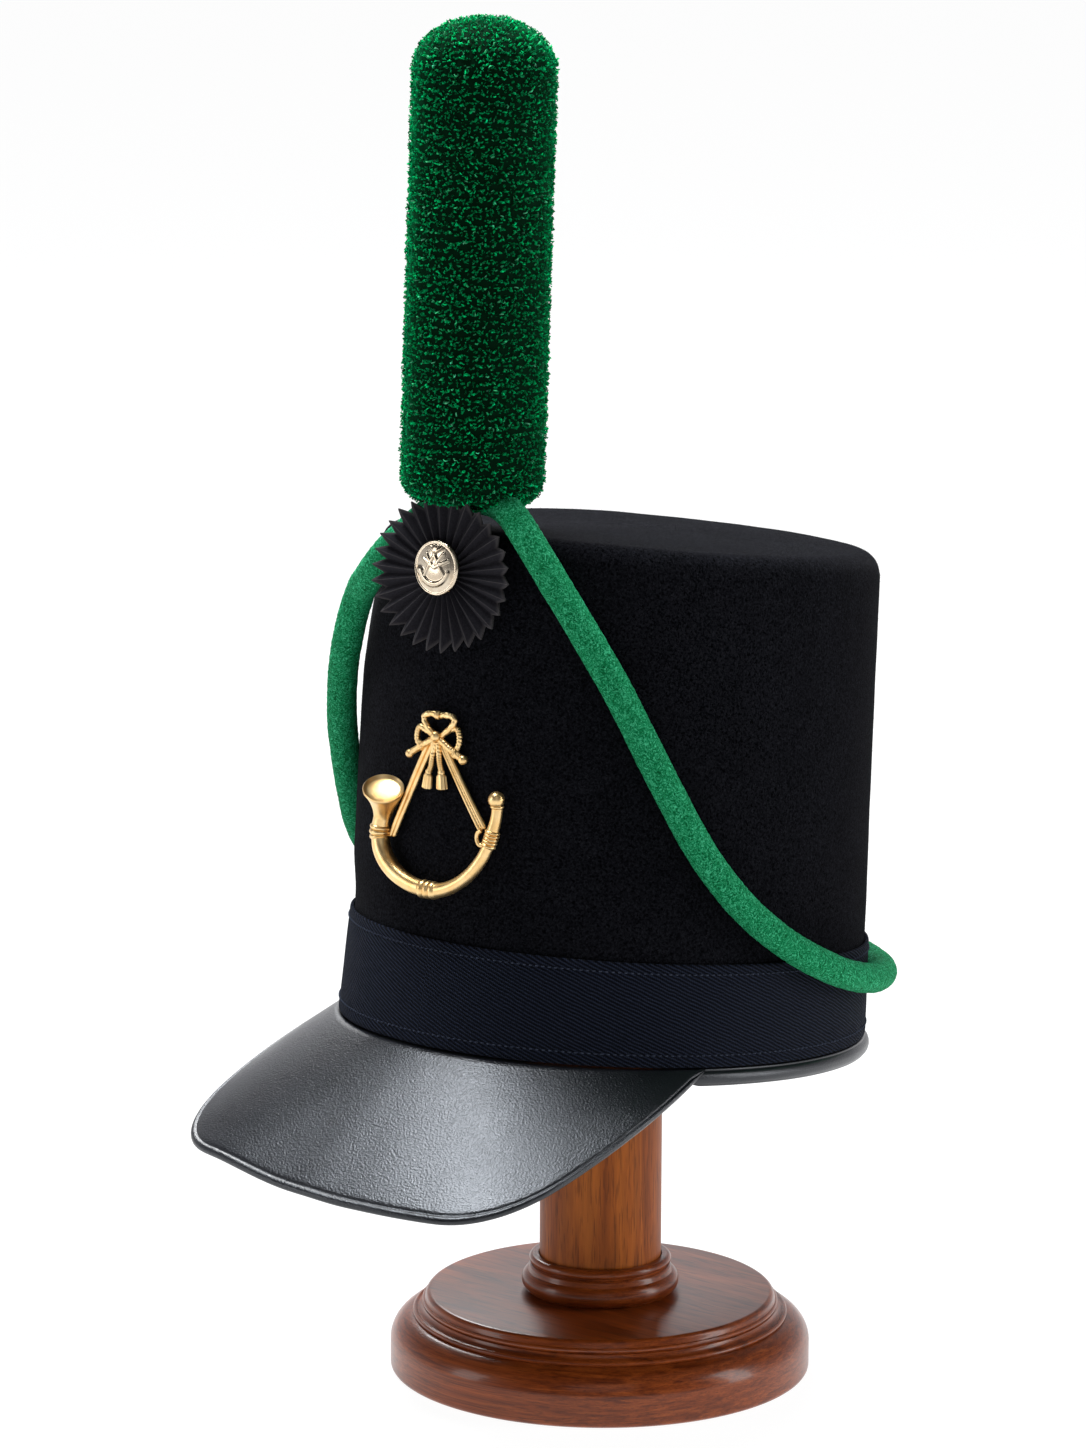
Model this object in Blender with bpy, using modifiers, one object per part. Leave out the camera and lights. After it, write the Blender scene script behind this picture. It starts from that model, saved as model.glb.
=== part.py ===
"""A shako on its display stand: felt crown, cloth band, leather peak, plume, cockade, badge and cord.

Metres, +Z up. The origin is the middle of the stand's underside, and the hat's front is -Y. The hat's own
frame has its origin in the middle of the rim, and is tipped back on the stand by HAT_TILT.
"""

import math

import bmesh
import bpy
from mathutils import Vector

# Clearances
GAP = 0.0003
SOCKET_CLEARANCE = 0.0004
HEAD_CLEARANCE = 0.0004

# Stand
BASE_RADIUS = 0.0759
BASE_SIDE_HEIGHT = 0.0125
BASE_SHOULDER_HEIGHT = 0.0100
PLATE_HEIGHT = 0.0286
PLATE_RADIUS = 0.0632
POST_RADIUS = 0.0220
COLLAR_FOOT_RADIUS = 0.0285
COLLAR_TOP_RADIUS = 0.0257
COLLAR_HEIGHT = 0.0135
COLLAR_WAIST = 0.62
EDGE_CHAMFER = 0.0020
HEAD_RADIUS = 0.0460
HEAD_EDGE_HEIGHT = 0.0140
HEAD_DOME_RADIUS = 0.1200

# Hat on the stand
RIM_HEIGHT = 0.1301
HAT_SETBACK = 0.0008
HAT_TILT = math.radians(6.24)

# Crown and band, half sizes measured outside the band
RIM_HALF_WIDTH = 0.0886
RIM_HALF_DEPTH = 0.1034
BAND_HEIGHT = 0.0359
BAND_TOP_HALF_WIDTH = 0.0891
BAND_TOP_HALF_DEPTH = 0.0990
BAND_THICKNESS = 0.0012
FELT_THICKNESS = 0.0025
CROWN_HEIGHT = 0.1775
TOP_HALF_WIDTH = 0.0835
TOP_HALF_DEPTH = 0.0985
TOP_FORWARD_SHIFT = 0.0052
TOP_FALL = math.tan(math.radians(2.7))
SHOULDER_RADIUS = 0.0080
TOP_DOME = 0.0020
TOP_INNER_SHARE = 0.93

# Leather
LEATHER_THICKNESS = 0.0022
PEAK_REACH = 0.1568
PEAK_CURVE = 0.0120
PEAK_HALF_WIDTH = 0.0720
PEAK_DROP = 0.0450
PEAK_CORNER_RADIUS = 0.0180
PEAK_CORNER_SHARE = 0.48
PEAK_ROOT_SHARE = 0.02
PEAK_SIDE_BULGE = 0.0075
PEAK_ARCH = 0.0040
PEAK_END_ANGLE = math.radians(66.0)
PEAK_TAB = 0.0030
BINDING_HEIGHT = 0.0062
BINDING_PROUD = 0.0018
BINDING_THICKNESS = 0.0042
BINDING_ROUND = 0.0015
BINDING_END_ANGLE = math.radians(66.4)

# Cockade and button
COCKADE_RADIUS = 0.0272
COCKADE_HEIGHT = 0.1660
COCKADE_FORWARD = 0.1142
BUTTON_HEIGHT = 0.1682
COCKADE_PLEATS = 30
PLEAT_DEPTH = 0.0044
PLEAT_NOTCH = 0.0026
HUB_BACK = 0.0031
HUB_RELIEF = 0.0004
COCKADE_THICKNESS = 0.0009
COCKADE_HUB_RADIUS = 0.0075
BUTTON_RADIUS = 0.0097
BUTTON_DOME = 0.0030
BUTTON_RIM = 0.0010
BUTTON_LIFT = 0.0020
SHANK_SHARE = 0.6

# Plume
PLUME_RADIUS = 0.0257
PLUME_LENGTH = 0.1710
PLUME_TOP_ROUND = 0.0190
PLUME_BOTTOM_ROUND = 0.0110
PLUME_BASE_FORWARD = 0.0943
PLUME_BASE_HEIGHT = 0.1885
PLUME_LEAN = math.radians(3.8)
LOCK_ROWS = 12
LOCKS_PER_ROW = 14
LOCK_RELIEF = 0.0022
PLUME_TIP_RADIUS = 0.0038
PLUME_FOOT = 0.0002
PLUME_TOP = 0.1705
STEM_RADIUS = 0.0025
STEM_DEPTH = 0.0250

# Badge
BADGE_BEND_RADIUS = 0.1050
BADGE_HEIGHT = 0.0540
BADGE_DROP = 0.0020
BADGE_HALF_WIDTH = 0.0280
BADGE_LENGTH = 0.0620

# Cord
CORD_DIAMETER = 0.0110
CORD_ROOM = 0.0012

DOME_RINGS = (0.60, 0.15)
ROUND_SIDES = 32
SMALL_SIDES = 16
HAT_SIDES = 48

# The cord's route, hat frame: from its right-hand end behind the cockade, down the right side, round the back
# and up the left side to its other end behind the cockade.
CORD_ROUTE = [
    (0.0050, -0.1015, 0.1935),
    (0.0140, -0.1026, 0.1940),
    (0.0210, -0.1040, 0.1926),
    (0.0260, -0.1052, 0.1900),
    (0.0303, -0.1038, 0.1852),
    (0.0372, -0.0999, 0.1748),
    (0.0498, -0.0912, 0.1533),
    (0.0611, -0.0805, 0.1301),
    (0.0713, -0.0679, 0.1033),
    (0.0800, -0.0535, 0.0775),
    (0.0872, -0.0375, 0.0581),
    (0.0924, -0.0194, 0.0454),
    (0.0953, 0.0003, 0.0372),
    (0.0933, 0.0220, 0.0326),
    (0.0863, 0.0452, 0.0301),
    (0.0730, 0.0683, 0.0292),
    (0.0547, 0.0869, 0.0288),
    (0.0290, 0.1013, 0.0286),
    (0.0000, 0.1062, 0.0285),
    (-0.0290, 0.1013, 0.0286),
    (-0.0547, 0.0869, 0.0288),
    (-0.0730, 0.0683, 0.0292),
    (-0.0863, 0.0452, 0.0301),
    (-0.0933, 0.0220, 0.0326),
    (-0.0953, 0.0003, 0.0372),
    (-0.0927, -0.0194, 0.0454),
    (-0.0878, -0.0380, 0.0575),
    (-0.0816, -0.0525, 0.0740),
    (-0.0747, -0.0677, 0.0990),
    (-0.0645, -0.0814, 0.1243),
    (-0.0531, -0.0893, 0.1491),
    (-0.0386, -0.0988, 0.1627),
    (-0.0248, -0.1048, 0.1762),
    (-0.0180, -0.1052, 0.1832),
    (-0.0112, -0.1047, 0.1888),
    (-0.0055, -0.1038, 0.1922),
]
CORD_POINTS = 66

# Turned rings of the base: (share of the step between plate and shoulder, share of its height)
BASE_STEP = [(0.00, 1.00), (0.18, 0.93), (0.30, 0.72), (0.34, 0.45), (0.50, 0.28), (0.80, 0.20), (1.00, 0.00)]

# The badge's horn: (across as a share of BADGE_HALF_WIDTH, up as a share of BADGE_LENGTH, radius in metres)
HORN = [
    (-0.78, 0.520, 0.0066),
    (-0.84, 0.470, 0.0040),
    (-0.90, 0.405, 0.0029),
    (-0.93, 0.365, 0.0031),
    (-0.93, 0.330, 0.0031),
    (-0.92, 0.300, 0.0029),
    (-0.84, 0.230, 0.0030),
    (-0.71, 0.155, 0.0030),
    (-0.51, 0.085, 0.0028),
    (-0.27, 0.045, 0.0027),
    (-0.12, 0.034, 0.0031),
    (-0.01, 0.032, 0.0031),
    (0.17, 0.040, 0.0024),
    (0.41, 0.072, 0.0023),
    (0.62, 0.140, 0.0022),
    (0.75, 0.220, 0.0021),
    (0.82, 0.300, 0.0021),
    (0.85, 0.330, 0.0027),
    (0.89, 0.385, 0.0027),
    (0.91, 0.410, 0.0022),
    (0.93, 0.520, 0.0021),
    (0.94, 0.580, 0.0022),
]
BALL = (0.94, 0.620, 0.0029)
HORN_STEPS = 27
# The bell's lip: (share of BELL_LIP_RADIUS, height along the bell in metres)
BELL_LIP = [
    (0.0, 0.0018), (0.72, 0.0022), (0.93, 0.0040), (1.0, 0.0036), (0.90, 0.0), (0.55, -0.0022), (0.0, -0.0045),
]
BELL_LIP_RADIUS = 0.0080
BELL_LIP_OUT = 0.0053
BELL_LIP_LEAN = math.radians(52.0)

# The badge's cords: (name, radius in metres, points as the same two shares)
BADGE_CORDS = [
    ("strap_left", 0.0013, [(-0.10, 0.93), (-0.83, 0.31)]),
    ("strap_left_rib", 0.0013, [(-0.02, 0.91), (-0.76, 0.29)]),
    ("strap_right", 0.0013, [(0.02, 0.91), (0.79, 0.39)]),
    ("strap_right_rib", 0.0013, [(-0.05, 0.89), (0.72, 0.37)]),
    ("bow_top", 0.0012, [(-0.08, 0.945), (-0.22, 0.99), (-0.20, 1.03), (0.00, 1.04), (0.21, 1.045),
                         (0.23, 1.00), (0.06, 0.945)]),
    ("bow_left", 0.0012, [(-0.05, 0.955), (-0.28, 1.005), (-0.36, 0.93), (-0.30, 0.87), (-0.09, 0.905)]),
    ("bow_right", 0.0012, [(0.00, 0.955), (0.24, 1.015), (0.32, 0.95), (0.27, 0.88), (0.05, 0.905)]),
    ("eye", 0.0009, [(0.83, 0.390), (0.74, 0.385), (0.69, 0.345), (0.74, 0.305), (0.81, 0.320)]),
    ("end_left", 0.0013, [(-0.22, 0.885), (-0.50, 0.80)]),
    ("end_right", 0.0014, [(0.12, 0.905), (0.44, 0.82)]),
]
TASSELS = [(-0.12, 0.82, -0.16, 0.64), (0.04, 0.82, 0.09, 0.65)]
TASSEL_RADIUS = 0.0021
# A tassel, from the knot down: (share of its length, radius in metres)
TASSEL_SHAPE = [(0.0, 0.0012), (0.55, 0.0012), (0.62, TASSEL_RADIUS), (1.0, TASSEL_RADIUS)]
KNOT = (-0.03, 0.93, 0.0024)


def collection(name):
    made = bpy.data.collections.new(name)
    bpy.context.scene.collection.children.link(made)
    return made


def material(name, colour, roughness, metallic=0.0):
    made = bpy.data.materials.new(name)
    made.use_nodes = True
    made.diffuse_color = (*colour, 1.0)
    shader = made.node_tree.nodes["Principled BSDF"]
    shader.inputs["Base Color"].default_value = (*colour, 1.0)
    shader.inputs["Roughness"].default_value = roughness
    shader.inputs["Metallic"].default_value = metallic
    return made


def place(name, mesh, finish=None, parent=None, group=None):
    """A mesh as a named object in the shako's collection, or in the given group."""
    made = bpy.data.objects.new(name, mesh)
    (group or PARTS).objects.link(made)
    if finish:
        mesh.materials.append(finish)
    made.parent = parent
    return made


def smooth(mesh, angle=math.radians(40)):
    mesh.shade_smooth()
    mesh.set_sharp_from_angle(angle=angle)


def hide_cutter(cutter):
    cutter.hide_render = True
    cutter.display_type = "WIRE"


def boolean(target, cutter, operation="DIFFERENCE"):
    made = target.modifiers.new(operation.lower(), "BOOLEAN")
    made.operation = operation
    made.object = cutter
    hide_cutter(cutter)


def turned(name, profile, finish, parent=None, sides=ROUND_SIDES, group=None):
    """A profile of (radius, height) points, top to bottom down its outer side, turned about Z."""
    mesh = bpy.data.meshes.new(name)
    work = bmesh.new()
    points = [work.verts.new((radius, 0.0, height)) for radius, height in profile]
    for first, second in zip(points, points[1:]):
        work.edges.new((first, second))
    work.to_mesh(mesh)
    work.free()
    made = place(name, mesh, finish, parent, group)
    screw = made.modifiers.new("turn", "SCREW")
    screw.steps = screw.render_steps = sides
    screw.use_merge_vertices = True
    screw.merge_threshold = 0.00001
    screw.use_smooth_shade = True
    return made


def loft(name, rings, finish, parent=None, closed=True, group=None):
    """A skin through rings of equally many points, the bottom ring first."""
    mesh = bpy.data.meshes.new(name)
    work = bmesh.new()
    rows = [[work.verts.new(point) for point in ring] for ring in rings]
    for low, high in zip(rows, rows[1:]):
        count = len(low) if closed else len(low) - 1
        for i in range(count):
            j = (i + 1) % len(low)
            work.faces.new((low[i], low[j], high[j], high[i]))
    work.to_mesh(mesh)
    work.free()
    return place(name, mesh, finish, parent, group)


def fill_end(made, ring):
    """Closes a loft's first (0) or last (-1) ring of ring points with one face."""
    work = bmesh.new()
    work.from_mesh(made.data)
    work.verts.ensure_lookup_table()
    count, size = len(work.verts), ring[1]
    start = 0 if ring[0] == 0 else count - size
    face = work.faces.new([work.verts[start + i] for i in range(size)])
    face.smooth = True
    bmesh.ops.recalc_face_normals(work, faces=work.faces)
    work.to_mesh(made.data)
    work.free()


def oval(half_width, half_depth, shift, height, sides=HAT_SIDES):
    """A level oval ring in the hat's frame, whose middle lies shift behind the rim's."""
    return [
        (half_width * math.sin(turn), shift - half_depth * math.cos(turn), height)
        for turn in (2 * math.pi * i / sides for i in range(sides))
    ]


def mix(first, second, share):
    return first + (second - first) * share


def crown_top(y):
    """Height of the crown's top edge, which falls towards the back."""
    return CROWN_HEIGHT - TOP_FALL * (y + TOP_FORWARD_SHIFT)


def wall_section(share, inset):
    """Half width, half depth and shift of the crown's wall at a share of its height, inset from outside."""
    under_band = BAND_THICKNESS + GAP
    split = BAND_HEIGHT / CROWN_HEIGHT
    if share <= split:
        part = share / split
        half_width = mix(RIM_HALF_WIDTH, BAND_TOP_HALF_WIDTH, part) - under_band
        half_depth = mix(RIM_HALF_DEPTH, BAND_TOP_HALF_DEPTH, part) - under_band
        return half_width - inset, half_depth - inset, 0.0
    part = (share - split) / (1 - split)
    half_width = mix(BAND_TOP_HALF_WIDTH - under_band, TOP_HALF_WIDTH, part)
    half_depth = mix(BAND_TOP_HALF_DEPTH - under_band, TOP_HALF_DEPTH, part)
    return half_width - inset, half_depth - inset, -TOP_FORWARD_SHIFT * part


def wall_ring(share, inset):
    half_width, half_depth, shift = wall_section(share, inset)
    ring = oval(half_width, half_depth, shift, 0.0)
    return [(x, y, share * crown_top(y)) for x, y, _ in ring]


def top_ring(scale, inset, rise):
    """A ring of the crown's top: scaled or inset from its edge, and rise above the edge's plane."""
    half_width = (TOP_HALF_WIDTH - inset) * scale
    half_depth = (TOP_HALF_DEPTH - inset) * scale
    ring = oval(half_width, half_depth, -TOP_FORWARD_SHIFT, 0.0)
    return [(x, y, crown_top(y) + rise) for x, y, _ in ring]


def front_wall(height):
    """How far in front of the rim's middle the crown's outside lies at this height, on the centre line."""
    share = height / crown_top(-TOP_HALF_DEPTH)
    _, half_depth, shift = wall_section(share, 0.0)
    return half_depth - shift


def add_stand():
    shoulder_top = BASE_SIDE_HEIGHT + BASE_SHOULDER_HEIGHT
    shoulder = [
        (BASE_RADIUS - BASE_SHOULDER_HEIGHT * (1 - math.cos(turn)),
         BASE_SIDE_HEIGHT + BASE_SHOULDER_HEIGHT * math.sin(turn))
        for turn in (math.radians(a) for a in (90, 72, 54, 36, 18, 0))
    ]
    inner = BASE_RADIUS - BASE_SHOULDER_HEIGHT
    step = [
        (mix(PLATE_RADIUS, inner, across), mix(shoulder_top, PLATE_HEIGHT, up))
        for across, up in BASE_STEP[:-1]
    ]
    side = [(BASE_RADIUS, EDGE_CHAMFER), (BASE_RADIUS - EDGE_CHAMFER, 0.0), (0.0, 0.0)]
    turned("stand_base", [(0.0, PLATE_HEIGHT)] + step + shoulder + side, MAHOGANY)

    bottom = PLATE_HEIGHT + GAP
    hole = POST_RADIUS + SOCKET_CLEARANCE
    waist = bottom + COLLAR_HEIGHT * COLLAR_WAIST
    bulge = (waist - bottom) / 2
    foot_ring = [
        (COLLAR_FOOT_RADIUS - bulge * (1 - math.sin(turn)), bottom + bulge * (1 + math.cos(turn)))
        for turn in (math.radians(a) for a in (25, 60, 90, 120, 150))
    ]
    top = bottom + COLLAR_HEIGHT
    rise = (top - waist) / 2
    top_bead = [
        (COLLAR_TOP_RADIUS - rise * (1 - math.sin(turn)), waist + rise * (1 + math.cos(turn)))
        for turn in (math.radians(a) for a in (10, 45, 90, 130))
    ]
    ring = [(hole, top)] + top_bead + foot_ring + [(COLLAR_FOOT_RADIUS - bulge, bottom), (hole, bottom)]
    turned("stand_collar", ring + [(hole, top)], MAHOGANY)

    head_bottom = head_centre_height() + HEAD_DOME_RADIUS - head_depth()
    post_top = head_bottom - GAP
    post = [(0.0, post_top), (POST_RADIUS, post_top), (POST_RADIUS, bottom), (0.0, bottom)]
    turned("stand_post", post, CHESTNUT)

    crest = head_centre_height() + HEAD_DOME_RADIUS
    dome = [
        (HEAD_DOME_RADIUS * math.sin(turn), crest - HEAD_DOME_RADIUS * (1 - math.cos(turn)))
        for turn in (math.asin(HEAD_RADIUS / HEAD_DOME_RADIUS) * i / 6 for i in range(7))
    ]
    side = [(HEAD_RADIUS, head_bottom + EDGE_CHAMFER), (HEAD_RADIUS - EDGE_CHAMFER, head_bottom),
            (0.0, head_bottom)]
    turned("stand_head", dome + side, CHESTNUT)


def head_depth():
    """Whole height of the block inside the hat, from its crest to its underside."""
    return HEAD_DOME_RADIUS * (1 - math.cos(math.asin(HEAD_RADIUS / HEAD_DOME_RADIUS))) + HEAD_EDGE_HEIGHT


def head_centre_height():
    """Height of the middle of the head's sphere, so that it just carries the inside of the crown's top.

    The inside of the top is a plane that leans back by the hat's tilt and its own fall together.
    """
    lean = HAT_TILT + math.atan(TOP_FALL)
    inside = CROWN_HEIGHT + TOP_DOME * TOP_INNER_SHARE - FELT_THICKNESS
    y = -TOP_FORWARD_SHIFT * math.cos(HAT_TILT) + inside * math.sin(HAT_TILT) + HAT_SETBACK
    z = TOP_FORWARD_SHIFT * math.sin(HAT_TILT) + inside * math.cos(HAT_TILT) + RIM_HEIGHT
    return (z * math.cos(lean) + y * math.sin(lean) - HEAD_DOME_RADIUS - HEAD_CLEARANCE) / math.cos(lean)


def add_crown(hat):
    """The felt crown, a hollow shell open below, with a hole in its top for the plume's stem."""
    split = BAND_HEIGHT / CROWN_HEIGHT
    wall_top = 1 - SHOULDER_RADIUS / CROWN_HEIGHT
    shares = [0.0, split, mix(split, wall_top, 0.5), wall_top]
    turns = [math.radians(a) for a in (30, 60, 90)]
    outside = [wall_ring(share, 0.0) for share in shares]
    outside += [
        top_ring(1.0, SHOULDER_RADIUS * (1 - math.cos(turn)), -SHOULDER_RADIUS * (1 - math.sin(turn)))
        for turn in turns
    ]
    outside += [top_ring(scale, SHOULDER_RADIUS, TOP_DOME * (1 - scale**2)) for scale in DOME_RINGS]
    inside = [wall_ring(share, FELT_THICKNESS) for share in shares]
    inner_radius = SHOULDER_RADIUS - FELT_THICKNESS
    inside += [
        top_ring(1.0, FELT_THICKNESS + inner_radius * (1 - math.cos(turn)),
                 -FELT_THICKNESS - inner_radius * (1 - math.sin(turn)))
        for turn in turns
    ]
    inside += [
        top_ring(scale, SHOULDER_RADIUS, TOP_DOME * (1 - scale**2) - FELT_THICKNESS)
        for scale in DOME_RINGS
    ]
    made = loft("crown", inside[::-1] + outside, FELT, hat)
    fill_end(made, (0, HAT_SIDES))
    fill_end(made, (-1, HAT_SIDES))
    smooth(made.data)
    bore = STEM_RADIUS + SOCKET_CLEARANCE
    drill = [(0.0, 0.0), (bore, 0.0), (bore, -STEM_DEPTH), (0.0, -STEM_DEPTH)]
    hole = turned("stem_hole", drill, None, hat, SMALL_SIDES, CUTTERS)
    hole.location = plume_point(0.0)
    hole.rotation_euler = (PLUME_LEAN, 0.0, 0.0)
    boolean(made, hole)


def add_band(hat):
    """The cloth band round the crown's foot."""
    rows = []
    for inset in (BAND_THICKNESS, 0.0):
        low = oval(RIM_HALF_WIDTH - inset, RIM_HALF_DEPTH - inset, 0.0, 0.0)
        high = oval(BAND_TOP_HALF_WIDTH - inset, BAND_TOP_HALF_DEPTH - inset, 0.0, 0.0)
        rows.append([(low, 0.0), (high, BAND_HEIGHT / CROWN_HEIGHT)])
    inner, outer = [
        [[(x, y, share * crown_top(y)) for x, y, _ in ring] for ring, share in pair] for pair in rows
    ]
    made = loft("band", [inner[1], inner[0], outer[0], outer[1], inner[1]], TWILL, hat)
    weld(made.data)
    smooth(made.data)


def weld(mesh):
    work = bmesh.new()
    work.from_mesh(mesh)
    bmesh.ops.remove_doubles(work, verts=work.verts, dist=0.000001)
    bmesh.ops.recalc_face_normals(work, faces=work.faces)
    work.to_mesh(mesh)
    work.free()


def rim_point(turn, inset, height):
    """A point of the rim at this angle from the front, inset from the band's outside."""
    x = (RIM_HALF_WIDTH - inset) * math.sin(turn)
    y = -(RIM_HALF_DEPTH - inset) * math.cos(turn)
    return Vector((x, y, height))


def add_binding(hat):
    """The leather welt under the band, round the back from one end of the peak to the other."""
    out, low = -BINDING_PROUD, -GAP - BINDING_HEIGHT
    inset = BINDING_THICKNESS - BINDING_PROUD
    section = [
        (inset, -GAP), (out + BINDING_ROUND, -GAP), (out, -GAP - BINDING_ROUND),
        (out, low + BINDING_ROUND), (out + BINDING_ROUND, low), (inset, low),
    ]
    steps = 48
    rings = []
    for i in range(steps + 1):
        turn = mix(BINDING_END_ANGLE, 2 * math.pi - BINDING_END_ANGLE, i / steps)
        rings.append([rim_point(turn, inward, height) for inward, height in section])
    made = loft("rim_binding", rings, LEATHER, hat)
    fill_end(made, (0, len(section)))
    fill_end(made, (-1, len(section)))
    smooth(made.data)


def peak_outline(share):
    """A point of the peak's outer edge, share -1 at its left end on the rim, 0 in front and 1 at its right end."""
    side = 1 if share >= 0 else -1
    end = rim_point(PEAK_END_ANGLE, 0.0, 0.0)
    front = Vector((0.0, -PEAK_REACH, -PEAK_DROP))
    corner = Vector((PEAK_HALF_WIDTH, -PEAK_REACH + PEAK_CURVE, -PEAK_DROP))
    middle = (corner + end) / 2
    outward = Vector((end.y - corner.y, corner.x - end.x, 0.0)).normalized()
    bulged = middle + outward * PEAK_SIDE_BULGE
    reach = abs(share)
    cut = PEAK_CORNER_RADIUS / (PEAK_HALF_WIDTH * 2)

    def edge(at):
        if at <= PEAK_CORNER_SHARE:
            part = at / PEAK_CORNER_SHARE
            return Vector((PEAK_HALF_WIDTH * part, front.y + PEAK_CURVE * part**2, front.z))
        part = (at - PEAK_CORNER_SHARE) / (1 - PEAK_CORNER_SHARE)
        return corner * (1 - part) ** 2 + (bulged * 2 - middle) * 2 * part * (1 - part) + end * part**2

    if abs(reach - PEAK_CORNER_SHARE) < cut:
        first, last = edge(PEAK_CORNER_SHARE - cut), edge(PEAK_CORNER_SHARE + cut)
        part = (reach - PEAK_CORNER_SHARE + cut) / (2 * cut)
        point = first * (1 - part) ** 2 + corner * 2 * part * (1 - part) + last * part**2
    else:
        point = edge(reach)
    return Vector((point.x * side, point.y, point.z))


def add_peak(hat):
    """The leather peak: a curved sheet from a tab under the band's foot out to its edge."""
    columns, rows = 36, 5
    level = -GAP - LEATHER_THICKNESS / 2
    sheet = []
    for j in range(-1, rows + 1):
        line = []
        for i in range(columns + 1):
            share = mix(-1.0, 1.0, i / columns)
            turn = PEAK_END_ANGLE * share
            root = rim_point(turn, 0.0, level)
            if j < 0:
                line.append(rim_point(turn, PEAK_TAB, level))
                continue
            edge = peak_outline(share) + Vector((0.0, 0.0, level))
            out = mix(PEAK_ROOT_SHARE, 1.0, j / rows)
            point = root.lerp(edge, out)
            arch = PEAK_ARCH * 4 * out * (1 - out) * (1 - share**2)
            line.append(point + Vector((0.0, -arch * 0.5, arch)))
        sheet.append(line)
    made = loft("peak", sheet, LEATHER, hat, closed=False)
    thicken = made.modifiers.new("thickness", "SOLIDIFY")
    thicken.thickness = LEATHER_THICKNESS
    thicken.offset = 0.0
    smooth(made.data)


def add_cockade(hat):
    """The pleated rosette on the front of the crown, and the button on it."""
    count = COCKADE_PLEATS * 2
    centre = Vector((0.0, -COCKADE_FORWARD, COCKADE_HEIGHT))
    hub, rim = [], []
    for i in range(count):
        turn = 2 * math.pi * i / count
        ridge = 1 if i % 2 else -1
        way = Vector((math.sin(turn), 0.0, math.cos(turn)))
        radius = COCKADE_RADIUS - (PLEAT_NOTCH if ridge < 0 else 0.0)
        hub.append(centre + way * COCKADE_HUB_RADIUS + Vector((0.0, HUB_BACK - ridge * HUB_RELIEF, 0.0)))
        rim.append(centre + way * radius + Vector((0.0, -ridge * PLEAT_DEPTH / 2, 0.0)))
    made = loft("cockade", [rim, hub], RIBBON, hat)
    fill_end(made, (-1, count))
    thicken = made.modifiers.new("thickness", "SOLIDIFY")
    thicken.thickness = COCKADE_THICKNESS
    thicken.offset = 0.0

    seat = HUB_RELIEF + COCKADE_THICKNESS / 2 + GAP - HUB_BACK
    dome = [
        (BUTTON_RADIUS * math.sin(turn), BUTTON_RIM + BUTTON_DOME * math.cos(turn))
        for turn in (math.radians(a) for a in (0, 20, 40, 60, 80))
    ]
    shank = COCKADE_HUB_RADIUS * SHANK_SHARE
    dome = [(radius, height + BUTTON_LIFT) for radius, height in dome]
    back = [(BUTTON_RADIUS, BUTTON_LIFT), (shank, BUTTON_LIFT), (shank, 0.0), (0.0, 0.0)]
    button = turned("button", dome + back, SILVER_GILT, hat)
    button.location = (0.0, -COCKADE_FORWARD - seat, BUTTON_HEIGHT)
    button.rotation_euler = (math.radians(90), 0.0, 0.0)


def plume_point(along):
    """A point on the plume's axis, this far up from its base, in the hat's frame."""
    base = Vector((0.0, -PLUME_BASE_FORWARD, PLUME_BASE_HEIGHT))
    return base + Vector((0.0, -math.sin(PLUME_LEAN), math.cos(PLUME_LEAN))) * along


def plume_radius(along):
    """The plume's radius this far up its length, rounded at both ends."""
    if along < PLUME_BOTTOM_ROUND:
        part = 1 - along / PLUME_BOTTOM_ROUND
        return PLUME_RADIUS - PLUME_BOTTOM_ROUND * (1 - math.sqrt(max(0.0, 1 - part**2)))
    above = along - (PLUME_LENGTH - PLUME_TOP_ROUND)
    if above > 0:
        part = above / PLUME_TOP_ROUND
        return PLUME_RADIUS * math.sqrt(max(0.0, 1 - part**2))
    return PLUME_RADIUS


def add_plume(hat):
    """The plume: rows of locks fused to its core, notched at its foot for the cockade and the cord."""
    sides = LOCKS_PER_ROW * 2
    rings = []
    levels = LOCK_ROWS * 2
    for j in range(levels + 1):
        along = mix(PLUME_FOOT, PLUME_TOP, j / levels)
        crest = j % 2 == 1
        ring = []
        for i in range(sides):
            turn = 2 * math.pi * i / sides
            tip = crest and (i + (j // 2)) % 2 == 0
            radius = plume_radius(along) - (0.0 if tip else LOCK_RELIEF * (0.5 if crest else 1.0))
            radius = max(radius, PLUME_TIP_RADIUS)
            ring.append((radius * math.sin(turn), -radius * math.cos(turn), along))
        rings.append(ring)
    made = loft("plume", rings, PLUME_WOOL, hat)
    fill_end(made, (0, sides))
    fill_end(made, (-1, sides))
    made.location = plume_point(0.0)
    made.rotation_euler = (PLUME_LEAN, 0.0, 0.0)
    smooth(made.data, math.radians(80))

    room = COCKADE_RADIUS + CORD_ROOM
    reach = PLUME_RADIUS * 2
    notch = [(0.0, reach), (room, reach), (room, 0.0), (0.0, 0.0)]
    disc = turned("cockade_room", notch, None, hat, ROUND_SIDES, CUTTERS)
    disc.location = (0.0, -COCKADE_FORWARD + PLEAT_DEPTH / 2 + CORD_ROOM, COCKADE_HEIGHT)
    disc.rotation_euler = (math.radians(90), 0.0, 0.0)
    boolean(made, disc)
    tunnel = cord_tube("cord_room", CORD_DIAMETER / 2 + CORD_ROOM, hat, CUTTERS, CORD_ROOM)
    boolean(made, tunnel)

    top = -GAP
    stem = [(0.0, top), (STEM_RADIUS, top), (STEM_RADIUS, -STEM_DEPTH), (0.0, -STEM_DEPTH)]
    pin = turned("plume_stem", stem, STEEL, hat, SMALL_SIDES)
    pin.location = plume_point(PLUME_FOOT)
    pin.rotation_euler = (PLUME_LEAN, 0.0, 0.0)


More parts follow.
